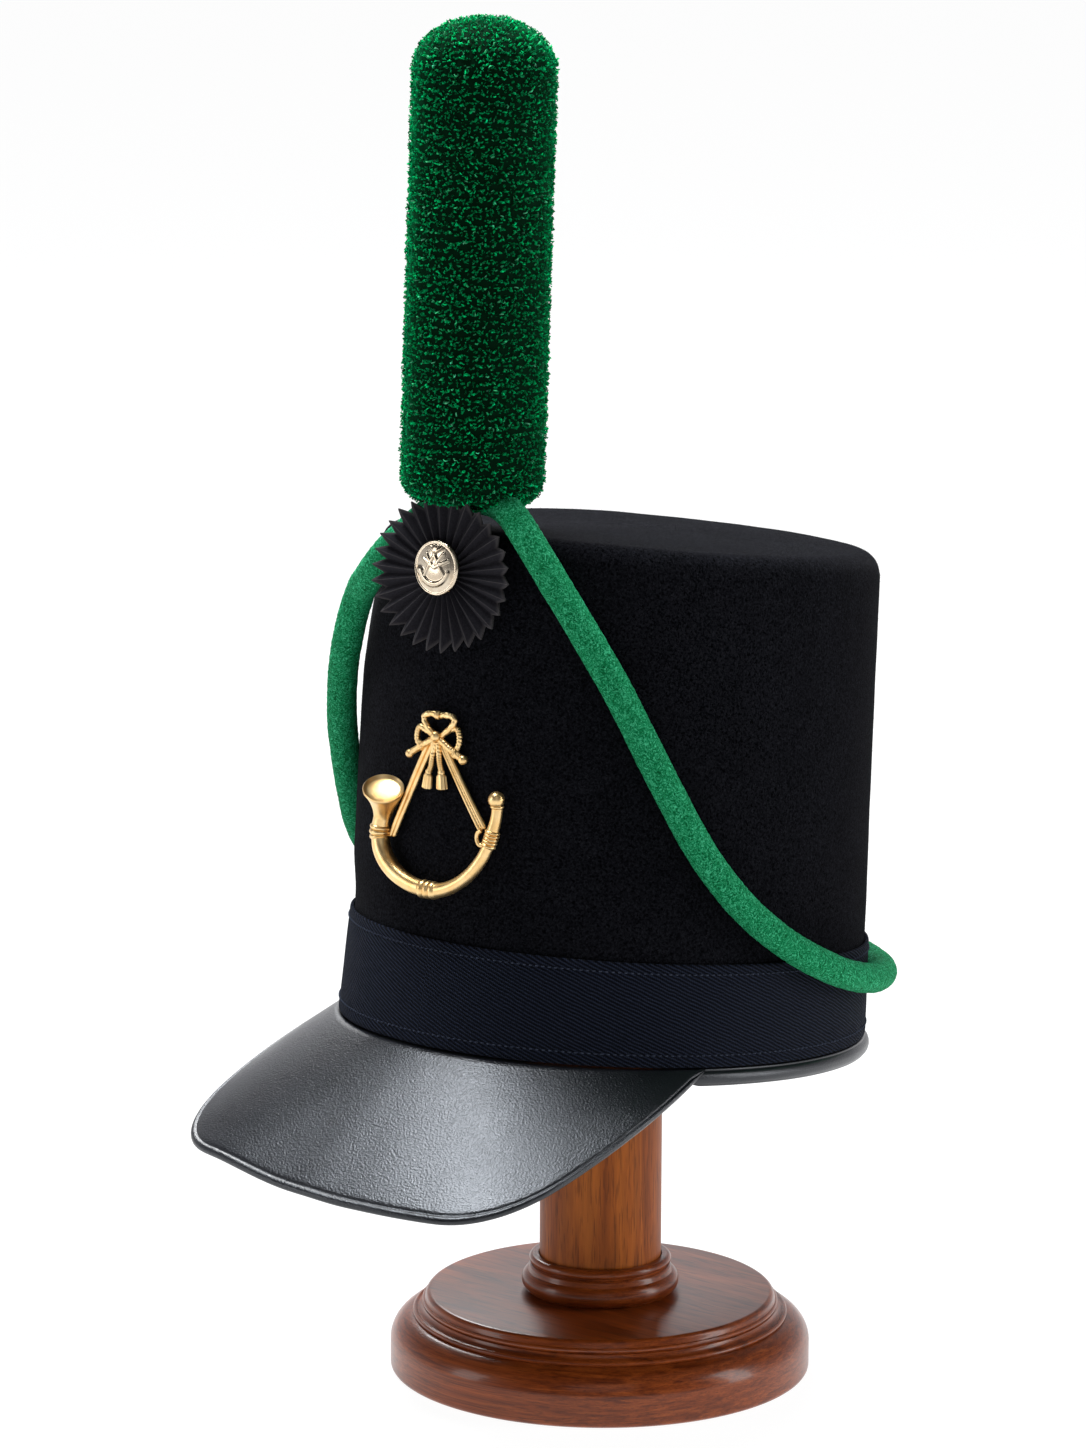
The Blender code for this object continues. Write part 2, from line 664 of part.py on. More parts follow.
def badge_point(across, up, out):
    """A point of the badge, from its shares of width and length and its height above the back."""
    x = across * BADGE_HALF_WIDTH
    z = BADGE_HEIGHT - BADGE_DROP + up * BADGE_LENGTH
    bend = x**2 / (2 * BADGE_BEND_RADIUS)
    return Vector((x, -front_wall(z) + bend - GAP * 2 - out, z))


def curve_points(points, count):
    """A smooth line through the points, as count + 1 points evenly spaced in parameter (Catmull-Rom)."""
    made = []
    last = len(points) - 1
    for k in range(count + 1):
        at = last * k / count
        i = min(int(at), last - 1)
        t = at - i
        a, b, c, d = (points[max(0, min(last, i + n))] for n in (-1, 0, 1, 2))
        made.append(tuple(
            0.5 * (2 * q + (r - p) * t + (2 * p - 5 * q + 4 * r - s) * t**2 + (3 * q - p - 3 * r + s) * t**3)
            for p, q, r, s in zip(a, b, c, d)
        ))
    return made


def tube(name, points, radii, finish, parent, group, resolution=2):
    """A tube as a curve made a closed mesh, with a radius at each point."""
    line = bpy.data.curves.new(name, "CURVE")
    line.dimensions = "3D"
    line.bevel_depth = 1.0
    line.bevel_resolution = resolution
    line.use_fill_caps = True
    spline = line.splines.new("POLY")
    spline.points.add(len(points) - 1)
    for spot, point, radius in zip(spline.points, points, radii):
        spot.co = (*point, 1.0)
        spot.radius = radius
    guide = bpy.data.objects.new(name + "_line", line)
    (group or PARTS).objects.link(guide)
    graph = bpy.context.evaluated_depsgraph_get()
    mesh = bpy.data.meshes.new_from_object(guide.evaluated_get(graph))
    bpy.data.objects.remove(guide)
    weld(mesh)
    return place(name, mesh, finish, parent, group)


def cord_tube(name, radius, parent, group, past_ends=0.0):
    """A tube along the cord's route, running this far past both of its ends."""
    points = [Vector(point) for point in curve_points(CORD_ROUTE, CORD_POINTS - 1)]
    points[0] += (points[0] - points[1]).normalized() * past_ends
    points[-1] += (points[-1] - points[-2]).normalized() * past_ends
    return tube(name, points, [radius] * len(points), None, parent, group, 2)


def ball(name, centre, radius, parent):
    mesh = bpy.data.meshes.new(name)
    work = bmesh.new()
    bmesh.ops.create_uvsphere(work, u_segments=10, v_segments=6, radius=radius)
    for vert in work.verts:
        vert.co += centre
    work.to_mesh(mesh)
    work.free()
    return place(name, mesh, None, parent, CUTTERS)


def add_badge(hat):
    """The bugle-horn hung from a bow of cord, cast in one piece."""
    table = curve_points(HORN, HORN_STEPS)
    points = [badge_point(across, up, radius) for across, up, radius in table]
    radii = [radius for _, _, radius in table]
    horn = tube("badge", points, radii, BRASS, hat, None)

    across, up, _ = HORN[0]
    lip_profile = [(BELL_LIP_RADIUS * share, height) for share, height in BELL_LIP]
    lip = turned("bell_lip", lip_profile, None, hat, SMALL_SIDES, CUTTERS)
    lip.location = badge_point(across, up, BELL_LIP_OUT)
    lip.rotation_euler = (BELL_LIP_LEAN, 0.0, 0.0)
    pieces = [lip]
    centre = badge_point(BALL[0], BALL[1], BALL[2])
    pieces.append(ball("horn_ball", centre, BALL[2], hat))
    for name, radius, route in BADGE_CORDS:
        route = curve_points(route, max(2, 3 * (len(route) - 1))) if len(route) > 2 else route
        spots = [badge_point(x, z, radius + GAP) for x, z in route]
        pieces.append(tube(name, spots, [radius] * len(spots), None, hat, CUTTERS, 1))
    for i, (x0, z0, x1, z1) in enumerate(TASSELS):
        spots = [badge_point(mix(x0, x1, s), mix(z0, z1, s), TASSEL_RADIUS) for s, _ in TASSEL_SHAPE]
        radii = [radius for _, radius in TASSEL_SHAPE]
        pieces.append(tube(f"tassel_{i}", spots, radii, None, hat, CUTTERS, 1))
    pieces.append(ball("knot", badge_point(KNOT[0], KNOT[1], KNOT[2]), KNOT[2], hat))
    for piece in pieces:
        boolean(horn, piece, "UNION")
    smooth(horn.data)


bpy.context.view_layer.update()
for old in list(bpy.data.objects):
    bpy.data.objects.remove(old)

PARTS = collection("shako")
CUTTERS = collection("cutters")

MAHOGANY = material("mahogany", (0.110, 0.022, 0.008), 0.16)
CHESTNUT = material("chestnut", (0.270, 0.080, 0.020), 0.26)
FELT = material("felt", (0.006, 0.006, 0.008), 0.95)
TWILL = material("twill", (0.008, 0.010, 0.020), 0.80)
LEATHER = material("leather", (0.014, 0.015, 0.018), 0.34)
RIBBON = material("ribbon", (0.014, 0.015, 0.018), 0.60)
SILVER_GILT = material("silver_gilt", (0.780, 0.690, 0.560), 0.25, 1.0)
BRASS = material("brass", (0.830, 0.560, 0.220), 0.27, 1.0)
STEEL = material("steel", (0.450, 0.450, 0.460), 0.35, 1.0)
PLUME_WOOL = material("plume_wool", (0.004, 0.110, 0.040), 0.90)
CORD_CLOTH = material("cord_cloth", (0.010, 0.270, 0.090), 0.75)

HAT = bpy.data.objects.new("hat_frame", None)
PARTS.objects.link(HAT)
HAT.location = (0.0, HAT_SETBACK, RIM_HEIGHT)
HAT.rotation_euler = (-HAT_TILT, 0.0, 0.0)

add_stand()
add_crown(HAT)
add_band(HAT)
add_binding(HAT)
add_peak(HAT)
add_cockade(HAT)
add_plume(HAT)
add_badge(HAT)
cord = cord_tube("cord", CORD_DIAMETER / 2, HAT, None)
cord.data.materials.append(CORD_CLOTH)
smooth(cord.data, math.radians(60))
bpy.context.view_layer.update()
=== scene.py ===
"""The looks of the shako and its stand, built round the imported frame.

Metres, +Z up, the hat's front towards -Y.
"""

import math

import bmesh
import bpy
import numpy as np
from mathutils import Matrix, Vector, noise


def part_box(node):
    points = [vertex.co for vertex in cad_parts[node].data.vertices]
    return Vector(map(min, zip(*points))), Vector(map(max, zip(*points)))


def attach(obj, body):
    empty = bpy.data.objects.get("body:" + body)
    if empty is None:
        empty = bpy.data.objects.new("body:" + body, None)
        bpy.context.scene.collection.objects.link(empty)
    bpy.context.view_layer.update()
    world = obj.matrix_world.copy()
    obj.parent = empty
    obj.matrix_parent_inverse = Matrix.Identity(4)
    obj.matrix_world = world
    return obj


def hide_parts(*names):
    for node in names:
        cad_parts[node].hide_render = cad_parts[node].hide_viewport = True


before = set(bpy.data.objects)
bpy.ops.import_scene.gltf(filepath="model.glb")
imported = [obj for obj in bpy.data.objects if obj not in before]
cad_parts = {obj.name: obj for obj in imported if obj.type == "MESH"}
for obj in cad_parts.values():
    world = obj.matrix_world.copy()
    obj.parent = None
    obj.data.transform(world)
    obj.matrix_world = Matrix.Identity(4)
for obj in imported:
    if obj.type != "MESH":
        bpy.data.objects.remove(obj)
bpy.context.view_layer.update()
RANDOM = np.random.default_rng(1812)

# Camera, fitted to the photograph's 1086 x 1448 frame
CAMERA_AZIMUTH = math.radians(39.59)
CAMERA_DISTANCE = 2.472
CAMERA_HEIGHT = 0.7931
CAMERA_PITCH = math.radians(12.65)
CAMERA_YAW = math.radians(0.5)
CAMERA_ROLL = math.radians(0.25)
FOCAL_PIXELS = 7111.9
FRAME_HEIGHT = 1448
SENSOR_HEIGHT = 36.0

# The hat's own frame, as in the CAD source
HAT_TILT = math.radians(6.24)
HAT = Matrix.Translation((0.0, 0.0008, 0.1301)) @ Matrix.Rotation(-HAT_TILT, 4, "X")
HAT_TURN = np.array(HAT.to_3x3())
HAT_SHIFT = np.array(HAT.translation)

RIM_HALF_WIDTH = 0.0886
RIM_HALF_DEPTH = 0.1034
BAND_HEIGHT = 0.0359
BAND_TOP_HALF_WIDTH = 0.0891
BAND_TOP_HALF_DEPTH = 0.0990
BAND_THICKNESS = 0.0012
FELT_THICKNESS = 0.0025
GAP = 0.0003
CROWN_HEIGHT = 0.1775
TOP_HALF_WIDTH = 0.0835
TOP_HALF_DEPTH = 0.0985
TOP_FORWARD_SHIFT = 0.0052
TOP_FALL = math.tan(math.radians(2.7))
SHOULDER_RADIUS = 0.0080
TOP_DOME = 0.0020

# How the crown departs from its solid at the photograph's left
CROWN_SLACK = 0.0044
CROWN_FULLER = 0.018
CROWN_TIGHTER = 0.022

NAP_FIBRES = 64000
NAP_FIRST_ROW = 14.5
NAP_HALF_BREADTH = 0.000045

STITCH_HEIGHTS = (0.0043, 0.0325)
STITCH_COUNT = 262
STITCH_SHARE = 0.62
RIB_PITCH = 0.00125
YARN_PITCH = 0.00075

PEAK_REACH = 0.1568
PEAK_CURVE = 0.0120
PEAK_HALF_WIDTH = 0.0720
PEAK_DROP = 0.0450
PEAK_CORNER_RADIUS = 0.0180
PEAK_CORNER_SHARE = 0.48
PEAK_SIDE_BULGE = 0.0075
PEAK_LEFT_BULGE = 0.0050
PEAK_LEFT_LIFT = 0.0040
PEAK_MIDDLE_DROP = 0.0011
PEAK_FRONT_DROP = 0.0014
PEAK_ARCH = 0.0008
PEAK_END_ANGLE = math.radians(66.0)
PEAK_TAB = 0.0030
LEATHER_THICKNESS = 0.0022
BINDING_END_ANGLE = math.radians(59.0)

COCKADE_RADIUS = 0.0272
COCKADE_HEIGHT = 0.1660
COCKADE_FORWARD = 0.1142
COCKADE_ACROSS = 0.0030
COCKADE_BACK = 0.0034
COCKADE_TURN = math.tan(math.radians(9.5))
COCKADE_PLEATS = 30
PLEAT_DEPTH = 0.0022
PLEAT_NOTCH = 0.0038
HUB_BACK = 0.0006
HUB_RADIUS = 0.0075
HUB_RELIEF = 0.0004
RIBBON_THICKNESS = 0.0007
BUTTON_RADIUS = 0.0097
BUTTON_HEIGHT = 0.1682
BUTTON_SEAT = -0.1126
BUTTON_ACROSS = 0.0024
RELIEF_SIZE = 1.28
BUTTON_BACK = 0.0020

PLUME_RADIUS = 0.0257
PLUME_LENGTH = 0.1705
PLUME_TOP_ROUND = 0.0190
PLUME_BOTTOM_ROUND = 0.0110
PLUME_BASE_FORWARD = 0.0943
PLUME_BASE_HEIGHT = 0.1885
PLUME_LEAN = math.radians(3.8)
PLUME_FOOT_RADIUS = 0.0060
PLUME_CORE_INSET = 0.0013
PLUME_SPLIT = 0.085
# The core's colour is painted shade between the tufts
CORE_PAINTED_SHADE = (0.0006, 0.0110, 0.0040)

TUFT_DEPTH = 0.0021
TUFT_SPACING = 0.00054
TUFT_ROW_GAP = 0.0030
TUFT_FIRST_ROW = 0.0012
# Tuft colours: painted shade deep in the pile, the lit tip, and a painted glint
TUFT_SHADED_ROOT = np.array([0.0004, 0.0170, 0.0055])
TUFT_LIT_TIP = np.array([0.0015, 0.6200, 0.1700])
TUFT_GLINT = np.array([0.160, 0.500, 0.320])

BADGE_BEND_RADIUS = 0.1050
BADGE_FOOT = 0.0520
BADGE_HALF_WIDTH = 0.0280
BADGE_LENGTH = 0.0620

CORD_DIAMETER = 0.0110

BASE_TOP = 0.0286
BASE_RADIUS = 0.0759
COLLAR_HEIGHT = 0.0135
COLLAR_PLAY = 0.0004
POST_RADIUS = 0.0220
FLOOR_REACH = 15.0
BRIGHT_WAY = (-0.637, 0.770, 0.0)

# The cord's route in the hat's frame
CORD_ROUTE = [
    (0.0050, -0.0985, 0.1925), (0.0120, -0.0985, 0.1922), (0.0185, -0.0990, 0.1908),
    (0.0243, -0.1003, 0.1880), (0.0300, -0.1015, 0.1838), (0.0372, -0.0998, 0.1748),
    (0.0498, -0.0912, 0.1533), (0.0611, -0.0805, 0.1301), (0.0713, -0.0679, 0.1033),
    (0.0800, -0.0535, 0.0775), (0.0872, -0.0375, 0.0585), (0.0922, -0.0194, 0.0452),
    (0.0949, 0.0003, 0.0358), (0.0927, 0.0220, 0.0292), (0.0856, 0.0449, 0.0252), (0.0724, 0.0678, 0.0232),
    (0.0543, 0.0864, 0.0225), (0.0288, 0.1009, 0.0227), (0.0000, 0.1062, 0.0237), (-0.0290, 0.1013, 0.0250),
    (-0.0547, 0.0869, 0.0265), (-0.0730, 0.0683, 0.0280), (-0.0863, 0.0452, 0.0301),
    (-0.0933, 0.0220, 0.0326), (-0.0953, 0.0003, 0.0372), (-0.0927, -0.0194, 0.0454),
    (-0.0878, -0.0380, 0.0575), (-0.0816, -0.0525, 0.0740), (-0.0747, -0.0677, 0.0990),
    (-0.0645, -0.0814, 0.1243), (-0.0531, -0.0893, 0.1491), (-0.0390, -0.0988, 0.1610),
    (-0.0282, -0.1037, 0.1700), (-0.0190, -0.1048, 0.1775), (-0.0118, -0.1046, 0.1838),
    (-0.0055, -0.1036, 0.1890),
]


def to_world(points):
    return np.asarray(points, float) @ HAT_TURN.T + HAT_SHIFT


def mix(first, second, share):
    return first + (second - first) * share


def step(low, high, value):
    """0 below low, 1 above high, and a smooth rise between them."""
    part = np.clip((value - low) / (high - low), 0.0, 1.0)
    return part * part * (3 - 2 * part)


def unit(vectors):
    """The same directions, each of length 1."""
    return vectors / np.maximum(np.linalg.norm(vectors, axis=-1, keepdims=True), 1e-9)


def around(count):
    """Angles evenly spaced round a circle."""
    return np.linspace(0, 2 * math.pi, count, endpoint=False)


def circles(side, other, turn):
    """Unit circles, one for each pair of normals."""
    return side[..., None, :] * np.cos(turn)[:, None] + other[..., None, :] * np.sin(turn)[:, None]


def turned(profile, sides):
    """Rings round the Z axis, one for each radius and height of the profile."""
    turn = around(sides)
    return np.array([np.stack([radius * np.sin(turn), -radius * np.cos(turn), np.full(sides, height)], 1)
                     for radius, height in profile])


def run_along(line):
    """How far along the line each of its points lies."""
    return np.concatenate([[0.0], np.cumsum(np.linalg.norm(np.diff(line, axis=0), axis=1))])


def quads_between(high, wide, closed=True):
    """The quads between rows of points. Closed joins each row's end to its start."""
    low = np.arange(high - 1)[:, None] * wide
    top = low + wide
    j = np.arange(wide if closed else wide - 1)[None, :]
    k = (j + 1) % wide
    return np.stack([low + j, low + k, top + k, top + j], -1).reshape(-1, 4)


def wobble(points, size, seed=0.0):
    """Smooth noise in -1 to 1 at each point, with features of about this size in metres."""
    flat = np.asarray(points, float).reshape(-1, 3) / size + seed
    made = np.array([noise.noise(point) for point in flat])
    return made.reshape(np.asarray(points).shape[:-1])


def curve_points(points, count):
    """A smooth line through the points, as count + 1 points evenly spaced in parameter (Catmull-Rom)."""
    points = np.asarray(points, float)
    last = len(points) - 1
    at = np.linspace(0, last, count + 1)
    i = np.minimum(at.astype(int), last - 1)
    t = (at - i)[:, None]
    p, q, r, s = (points[np.clip(i + n, 0, last)] for n in (-1, 0, 1, 2))
    return 0.5 * (2 * q + (r - p) * t + (2 * p - 5 * q + 4 * r - s) * t**2 + (3 * q - p - 3 * r + s) * t**3)


def frames_along(path):
    """Unit tangents and two unit normals at each point of a path, turning as little as possible."""
    tangents = unit(np.gradient(path, axis=0))
    first = np.cross(tangents[0], (0.0, 0.0, 1.0))
    if np.linalg.norm(first) < 0.1:
        first = np.cross(tangents[0], (0.0, 1.0, 0.0))
    sides = [unit(first)]
    for tangent in tangents[1:]:
        sides.append(unit(sides[-1] - tangent * np.dot(sides[-1], tangent)))
    sides = np.array(sides)
    return tangents, sides, np.cross(tangents, sides)


def add_object(name, data):
    made = bpy.data.objects.new(name, data)
    bpy.context.scene.collection.objects.link(made)
    return made


class Shape:
    """Vertices and faces gathered from grids, for one mesh."""

    def __init__(self):
        self.points, self.faces, self.count = [], [], 0

    def add(self, points, faces):
        self.points.append(np.asarray(points, float).reshape(-1, 3))
        self.faces.append(np.asarray(faces, int) + self.count)
        self.count += len(self.points[-1])

    def grid(self, rows, closed=True, caps=False):
        """A skin over rows of points, with its two end rows filled where caps are asked for."""
        rows = np.asarray(rows, float)
        high, wide = rows.shape[:2]
        start = self.count
        self.add(rows, quads_between(high, wide, closed))
        if caps:
            for row in (0, high - 1):
                middle = self.count
                self.points.append(rows[row].mean(axis=0)[None])
                self.count += 1
                ring = start + row * wide + np.arange(wide)
                self.faces.append(np.stack([ring, np.roll(ring, -1), np.full(wide, middle)], 1))

    def tube(self, path, radii, sides=12, flat=1.0, flat_way=None, twist=None):
        """A round tube along a path. twist(along, round) gives a share added to the radius."""
        path = np.asarray(path, float)
        radii = np.broadcast_to(np.asarray(radii, float), len(path))
        _, side, other = frames_along(path)
        turn = around(sides)
        size = radii[:, None] * np.ones(sides)
        if twist is not None:
            size = size * (1 + twist(np.arange(len(path))[:, None], turn[None, :]))
        ring = circles(side, other, turn)
        if flat_way is not None:
            way = np.asarray(flat_way, float)
            ring = ring - (1 - flat) * way * (ring @ way)[..., None]
        self.grid(path[:, None] + ring * size[..., None], caps=True)

    def piece(self, name, material, slot, replaces=(), smooth=50.0, uv=None, tone=None, tidy=True):
        """The shape as an object that rides on the body. A tone is one or three numbers for each point."""
        mesh = bpy.data.meshes.new(name)
        faces = [face for block in self.faces for face in block.tolist()]
        mesh.from_pydata(np.concatenate(self.points).tolist(), [], faces)
        if uv is not None:
            layer = mesh.uv_layers.new(name="UVMap")
            corner = np.empty(len(mesh.loops), np.int32)
            mesh.loops.foreach_get("vertex_index", corner)
            layer.data.foreach_set("uv", np.asarray(uv, np.float32).reshape(-1, 2)[corner].ravel())
        if tone is not None:
            colour = np.ones((len(mesh.vertices), 4), np.float32)
            colour[:, :3] = np.asarray(tone, np.float32).reshape(len(colour), -1)
            layer = mesh.color_attributes.new("tone", "FLOAT_COLOR", "POINT")
            layer.data.foreach_set("color", colour.ravel())
        if tidy:
            work = bmesh.new()
            work.from_mesh(mesh)
            bmesh.ops.recalc_face_normals(work, faces=work.faces)
            work.to_mesh(mesh)
            work.free()
        mesh.materials.append(material)
        mesh.shade_smooth()
        if smooth < 180:
            mesh.set_sharp_from_angle(angle=math.radians(smooth))
        made = add_object(name, mesh)
        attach(made, "root")
        if replaces:
            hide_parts(*replaces)
        return made


def add_camera():
    spot = Vector((math.sin(CAMERA_AZIMUTH), -math.cos(CAMERA_AZIMUTH), 0.0)) * CAMERA_DISTANCE
    spot.z = CAMERA_HEIGHT
    heading = CAMERA_AZIMUTH + CAMERA_YAW
    level = math.cos(CAMERA_PITCH)
    forward = Vector((-math.sin(heading) * level, math.cos(heading) * level, -math.sin(CAMERA_PITCH)))
    right = Vector((math.cos(heading), math.sin(heading), 0.0))
    up = right.cross(forward)
    across = right * math.cos(CAMERA_ROLL) + up * math.sin(CAMERA_ROLL)
    upward = up * math.cos(CAMERA_ROLL) - right * math.sin(CAMERA_ROLL)
    lens = bpy.data.cameras.new("camera")
    lens.sensor_fit = "VERTICAL"
    lens.sensor_height = SENSOR_HEIGHT
    lens.lens = FOCAL_PIXELS / FRAME_HEIGHT * SENSOR_HEIGHT
    lens.clip_end = 50.0
    made = add_object("camera", lens)
    place = Matrix((across, upward, -forward)).transposed().to_4x4()
    place.translation = spot
    made.matrix_world = place
    bpy.context.scene.camera = made


# Materials

class Nodes:
    """A node tree, and short ways to add to it."""

    def __init__(self, tree):
        self.tree = tree

    def node(self, kind, settings=None, **inputs):
        """Inputs are values or sockets. A name such as i2 is the input's number."""
        made = self.tree.nodes.new(kind)
        for key, value in (settings or {}).items():
            setattr(made, key, value)
        for key, value in inputs.items():
            numbered = key[0] == "i" and key[1:].isdigit()
            socket = made.inputs[int(key[1:]) if numbered else key.replace("_", " ")]
            if isinstance(value, bpy.types.NodeSocket):
                self.tree.links.new(value, socket)
            else:
                socket.default_value = value
        return made

    def place(self, scale=(1.0, 1.0, 1.0), source="Object"):
        where = self.node("ShaderNodeTexCoord").outputs[source]
        return self.node("ShaderNodeMapping", Vector=where, Scale=scale).outputs["Vector"]

    def tone(self):
        """The tone that a piece's points carry."""
        return self.node("ShaderNodeVertexColor", {"layer_name": "tone"}).outputs["Color"]

    def noise(self, vector, scale, detail=3.0, rough=0.55, distortion=0.0):
        made = self.node("ShaderNodeTexNoise", Vector=vector, Scale=scale, Detail=detail, Roughness=rough,
                         Distortion=distortion)
        return made.outputs["Fac"]

    def cells(self, vector, scale, feature):
        made = self.node("ShaderNodeTexVoronoi", {"feature": feature}, Vector=vector, Scale=scale)
        return made.outputs["Distance"]

    def ramp(self, value, stops):
        """stops are (place, colour), a colour three numbers or one grey."""
        made = self.node("ShaderNodeValToRGB", Fac=value)
        band = made.color_ramp
        while len(band.elements) < len(stops):
            band.elements.new(0.5)
        for element, (spot, colour) in zip(band.elements, stops):
            element.position = spot
            element.color = (*(colour if isinstance(colour, tuple) else (colour,) * 3), 1.0)
        return made.outputs["Color"]

    def math(self, operation, first, second=0.0, third=0.0):
        return self.node("ShaderNodeMath", {"operation": operation}, i0=first, i1=second, i2=third).outputs[0]

    def blend(self, share, first, second, kind="MIX"):
        """Two colours, each a socket or three numbers, mixed by the share."""
        first, second = (colour if isinstance(colour, bpy.types.NodeSocket) else (*colour, 1.0)
                         for colour in (first, second))
        settings = {"data_type": "RGBA", "blend_type": kind}
        return self.node("ShaderNodeMix", settings, i0=share, i6=first, i7=second).outputs[2]

    def bump(self, height, distance, strength=1.0):
        made = self.node("ShaderNodeBump", Height=height, Distance=distance, Strength=strength)
        return made.outputs["Normal"]


class Maker(Nodes):
    """A Principled material and the nodes that feed it."""

    def __init__(self, name, colour, roughness, metallic=0.0, **values):
        self.material = bpy.data.materials.new(name)
        self.material.use_nodes = True
        self.material.diffuse_color = (*colour, 1.0)
        super().__init__(self.material.node_tree)
        self.shader = self.tree.nodes["Principled BSDF"]
        self.set("Base Color", (*colour, 1.0))
        self.set("Roughness", roughness)
        self.set("Metallic", metallic)
        for key, value in values.items():
            self.set(key.replace("_", " "), value)

    def set(self, name, value):
        for socket in self.shader.inputs:
            if socket.name.lower() == name.lower():
                socket.default_value = value

    def feed(self, socket, name):
        self.tree.links.new(socket, self.shader.inputs[name])


def felt():
    made = Maker("felt", (0.0045, 0.0047, 0.0062), 0.98, Sheen_Weight=0.014, Sheen_Roughness=0.45,
                 Specular_IOR_Level=0.01)
    where = made.place()
    fibres = made.noise(where, 1100.0, 4.0, 0.7, 0.6)
    light = made.ramp(fibres, [(0.38, (0.0004, 0.0005, 0.0010)), (0.68, (0.0130, 0.0136, 0.0175))])
    dark = made.ramp(made.noise(where, 70.0, 3.0, 0.6), [(0.3, 0.72), (0.7, 1.0)])
    made.feed(made.blend(0.8, light, dark, "MULTIPLY"), "Base Color")
    made.feed(made.bump(fibres, 0.00035, 0.8), "Normal")
    return made.material


def twill():
    """Fine ribs that slant down to the right, in metres along and up the band."""
    made = Maker("twill", (0.004, 0.006, 0.014), 0.90, Sheen_Weight=0.02, Specular_IOR_Level=0.06)
    where = made.place(source="UV")
    split = made.node("ShaderNodeSeparateXYZ", Vector=where)
    along, up = split.outputs["X"], split.outputs["Y"]
    uneven = made.noise(where, 160.0, 2.0)
    slant = made.math("MULTIPLY_ADD", along, 0.40, up)
    slant = made.math("MULTIPLY_ADD", uneven, 0.0009, slant)
    ribs = made.math("SINE", made.math("MULTIPLY", slant, 2 * math.pi / RIB_PITCH))
    yarn = made.math("SINE", made.math("MULTIPLY", along, 2 * math.pi / YARN_PITCH))
    cloth = made.math("MULTIPLY_ADD", yarn, 0.30, ribs)
    fuzz = made.noise(where, 1500.0, 3.0, 0.7)
    cloth = made.math("MULTIPLY_ADD", fuzz, 1.1, cloth)
    colour = made.ramp(made.math("MULTIPLY_ADD", cloth, 0.28, 0.36),
                       [(0.15, (0.0006, 0.0010, 0.0028)), (0.48, (0.0030, 0.0045, 0.0110)),
                        (0.85, (0.0200, 0.0270, 0.0500))])
    made.feed(colour, "Base Color")
    made.feed(made.bump(cloth, 0.00032, 1.0), "Normal")
    return made.material


def leather(name, roughness, grain):
    made = Maker(name, (0.0045, 0.0050, 0.0070), roughness, Specular_IOR_Level=0.62)
    made.set("Specular Tint", (0.90, 0.94, 1.0, 1.0))
    where = made.place()
    pebbles = made.cells(where, 1500.0, "SMOOTH_F1")
    wear = made.noise(where, 60.0, 4.0, 0.6)
    fine = made.noise(where, 1800.0, 4.0, 0.65, 0.4)
    colour = made.ramp(wear, [(0.25, (0.0032, 0.0036, 0.0052)), (0.8, (0.0065, 0.0070, 0.0095))])
    made.feed(colour, "Base Color")
    made.feed(made.ramp(made.math("MULTIPLY_ADD", fine, 0.5, made.math("MULTIPLY", wear, 0.5)),
                        [(0.25, roughness - 0.05), (0.75, roughness + 0.07)]), "Roughness")
    height = made.math("MULTIPLY_ADD", fine, 0.7, pebbles)
    made.feed(made.bump(height, grain, 0.7), "Normal")
    return made.material


def wood(name, light, mid, dark, along, roughness, coat, sheen, grain):
    """Varnished wood with its grain along X, or along Z for a post."""
    made = Maker(name, mid, roughness, Coat_Weight=coat, Coat_Roughness=0.09, Specular_IOR_Level=sheen)
    long_way = (0.06, 0.55, 4.0) if along == "X" else (1.0, 1.0, 0.07)
    where = made.place(long_way)
    rings = made.noise(where, grain, 4.0, 0.55, 1.2)
    streaks = made.noise(where, grain * 4, 3.0, 0.6, 0.3)
    pores = made.noise(where, 1500.0, 2.0, 0.5)
    cloud = made.noise(made.place(), 22.0, 2.0)
    colour = made.ramp(rings, [(0.28, dark), (0.50, mid), (0.72, light)])
    fibre = made.ramp(streaks, [(0.35, 0.62), (0.62, 1.0)])
    spots = made.ramp(pores, [(0.36, 0.38), (0.46, 1.0)])
    tint = made.ramp(cloud, [(0.3, 0.88), (0.7, 1.0)])
    for share, layer in ((0.75, fibre), (0.65, spots), (0.9, tint)):
        colour = made.blend(share, colour, layer, "MULTIPLY")
    made.feed(colour, "Base Color")
    made.feed(made.bump(pores, 0.00004, 0.25), "Normal")
    return made.material


def metal(name, colour, dull, roughness, painted_shade=False):
    made = Maker(name, colour, roughness, 1.0)
    where = made.place()
    brushed = made.noise(where, 2600.0, 3.0, 0.6)
    stain = made.noise(where, 220.0, 4.0, 0.6)
    tint = made.ramp(stain, [(0.3, dull), (0.6, colour)])
    # The tone multiplies painted shade into the colour where a piece carries it
    if painted_shade:
        tint = made.blend(1.0, tint, made.tone(), "MULTIPLY")
    made.feed(tint, "Base Color")
    made.feed(made.ramp(brushed, [(0.3, roughness - 0.07), (0.7, roughness + 0.10)]), "Roughness")
    made.feed(made.bump(brushed, 0.00004, 0.35), "Normal")
    return made.material


def wool():
    """The tufts and core take their colour, painted shade and painted glints included, from the tone written
    on each of them.
    """
    made = Maker("plume_wool", (0.002, 0.110, 0.034), 0.80, Specular_IOR_Level=0.02, Sheen_Weight=1.0,
                 Sheen_Roughness=0.30)
    made.set("Sheen Tint", (0.0, 0.80, 0.26, 1.0))
    made.feed(made.tone(), "Base Color")
    return made.material


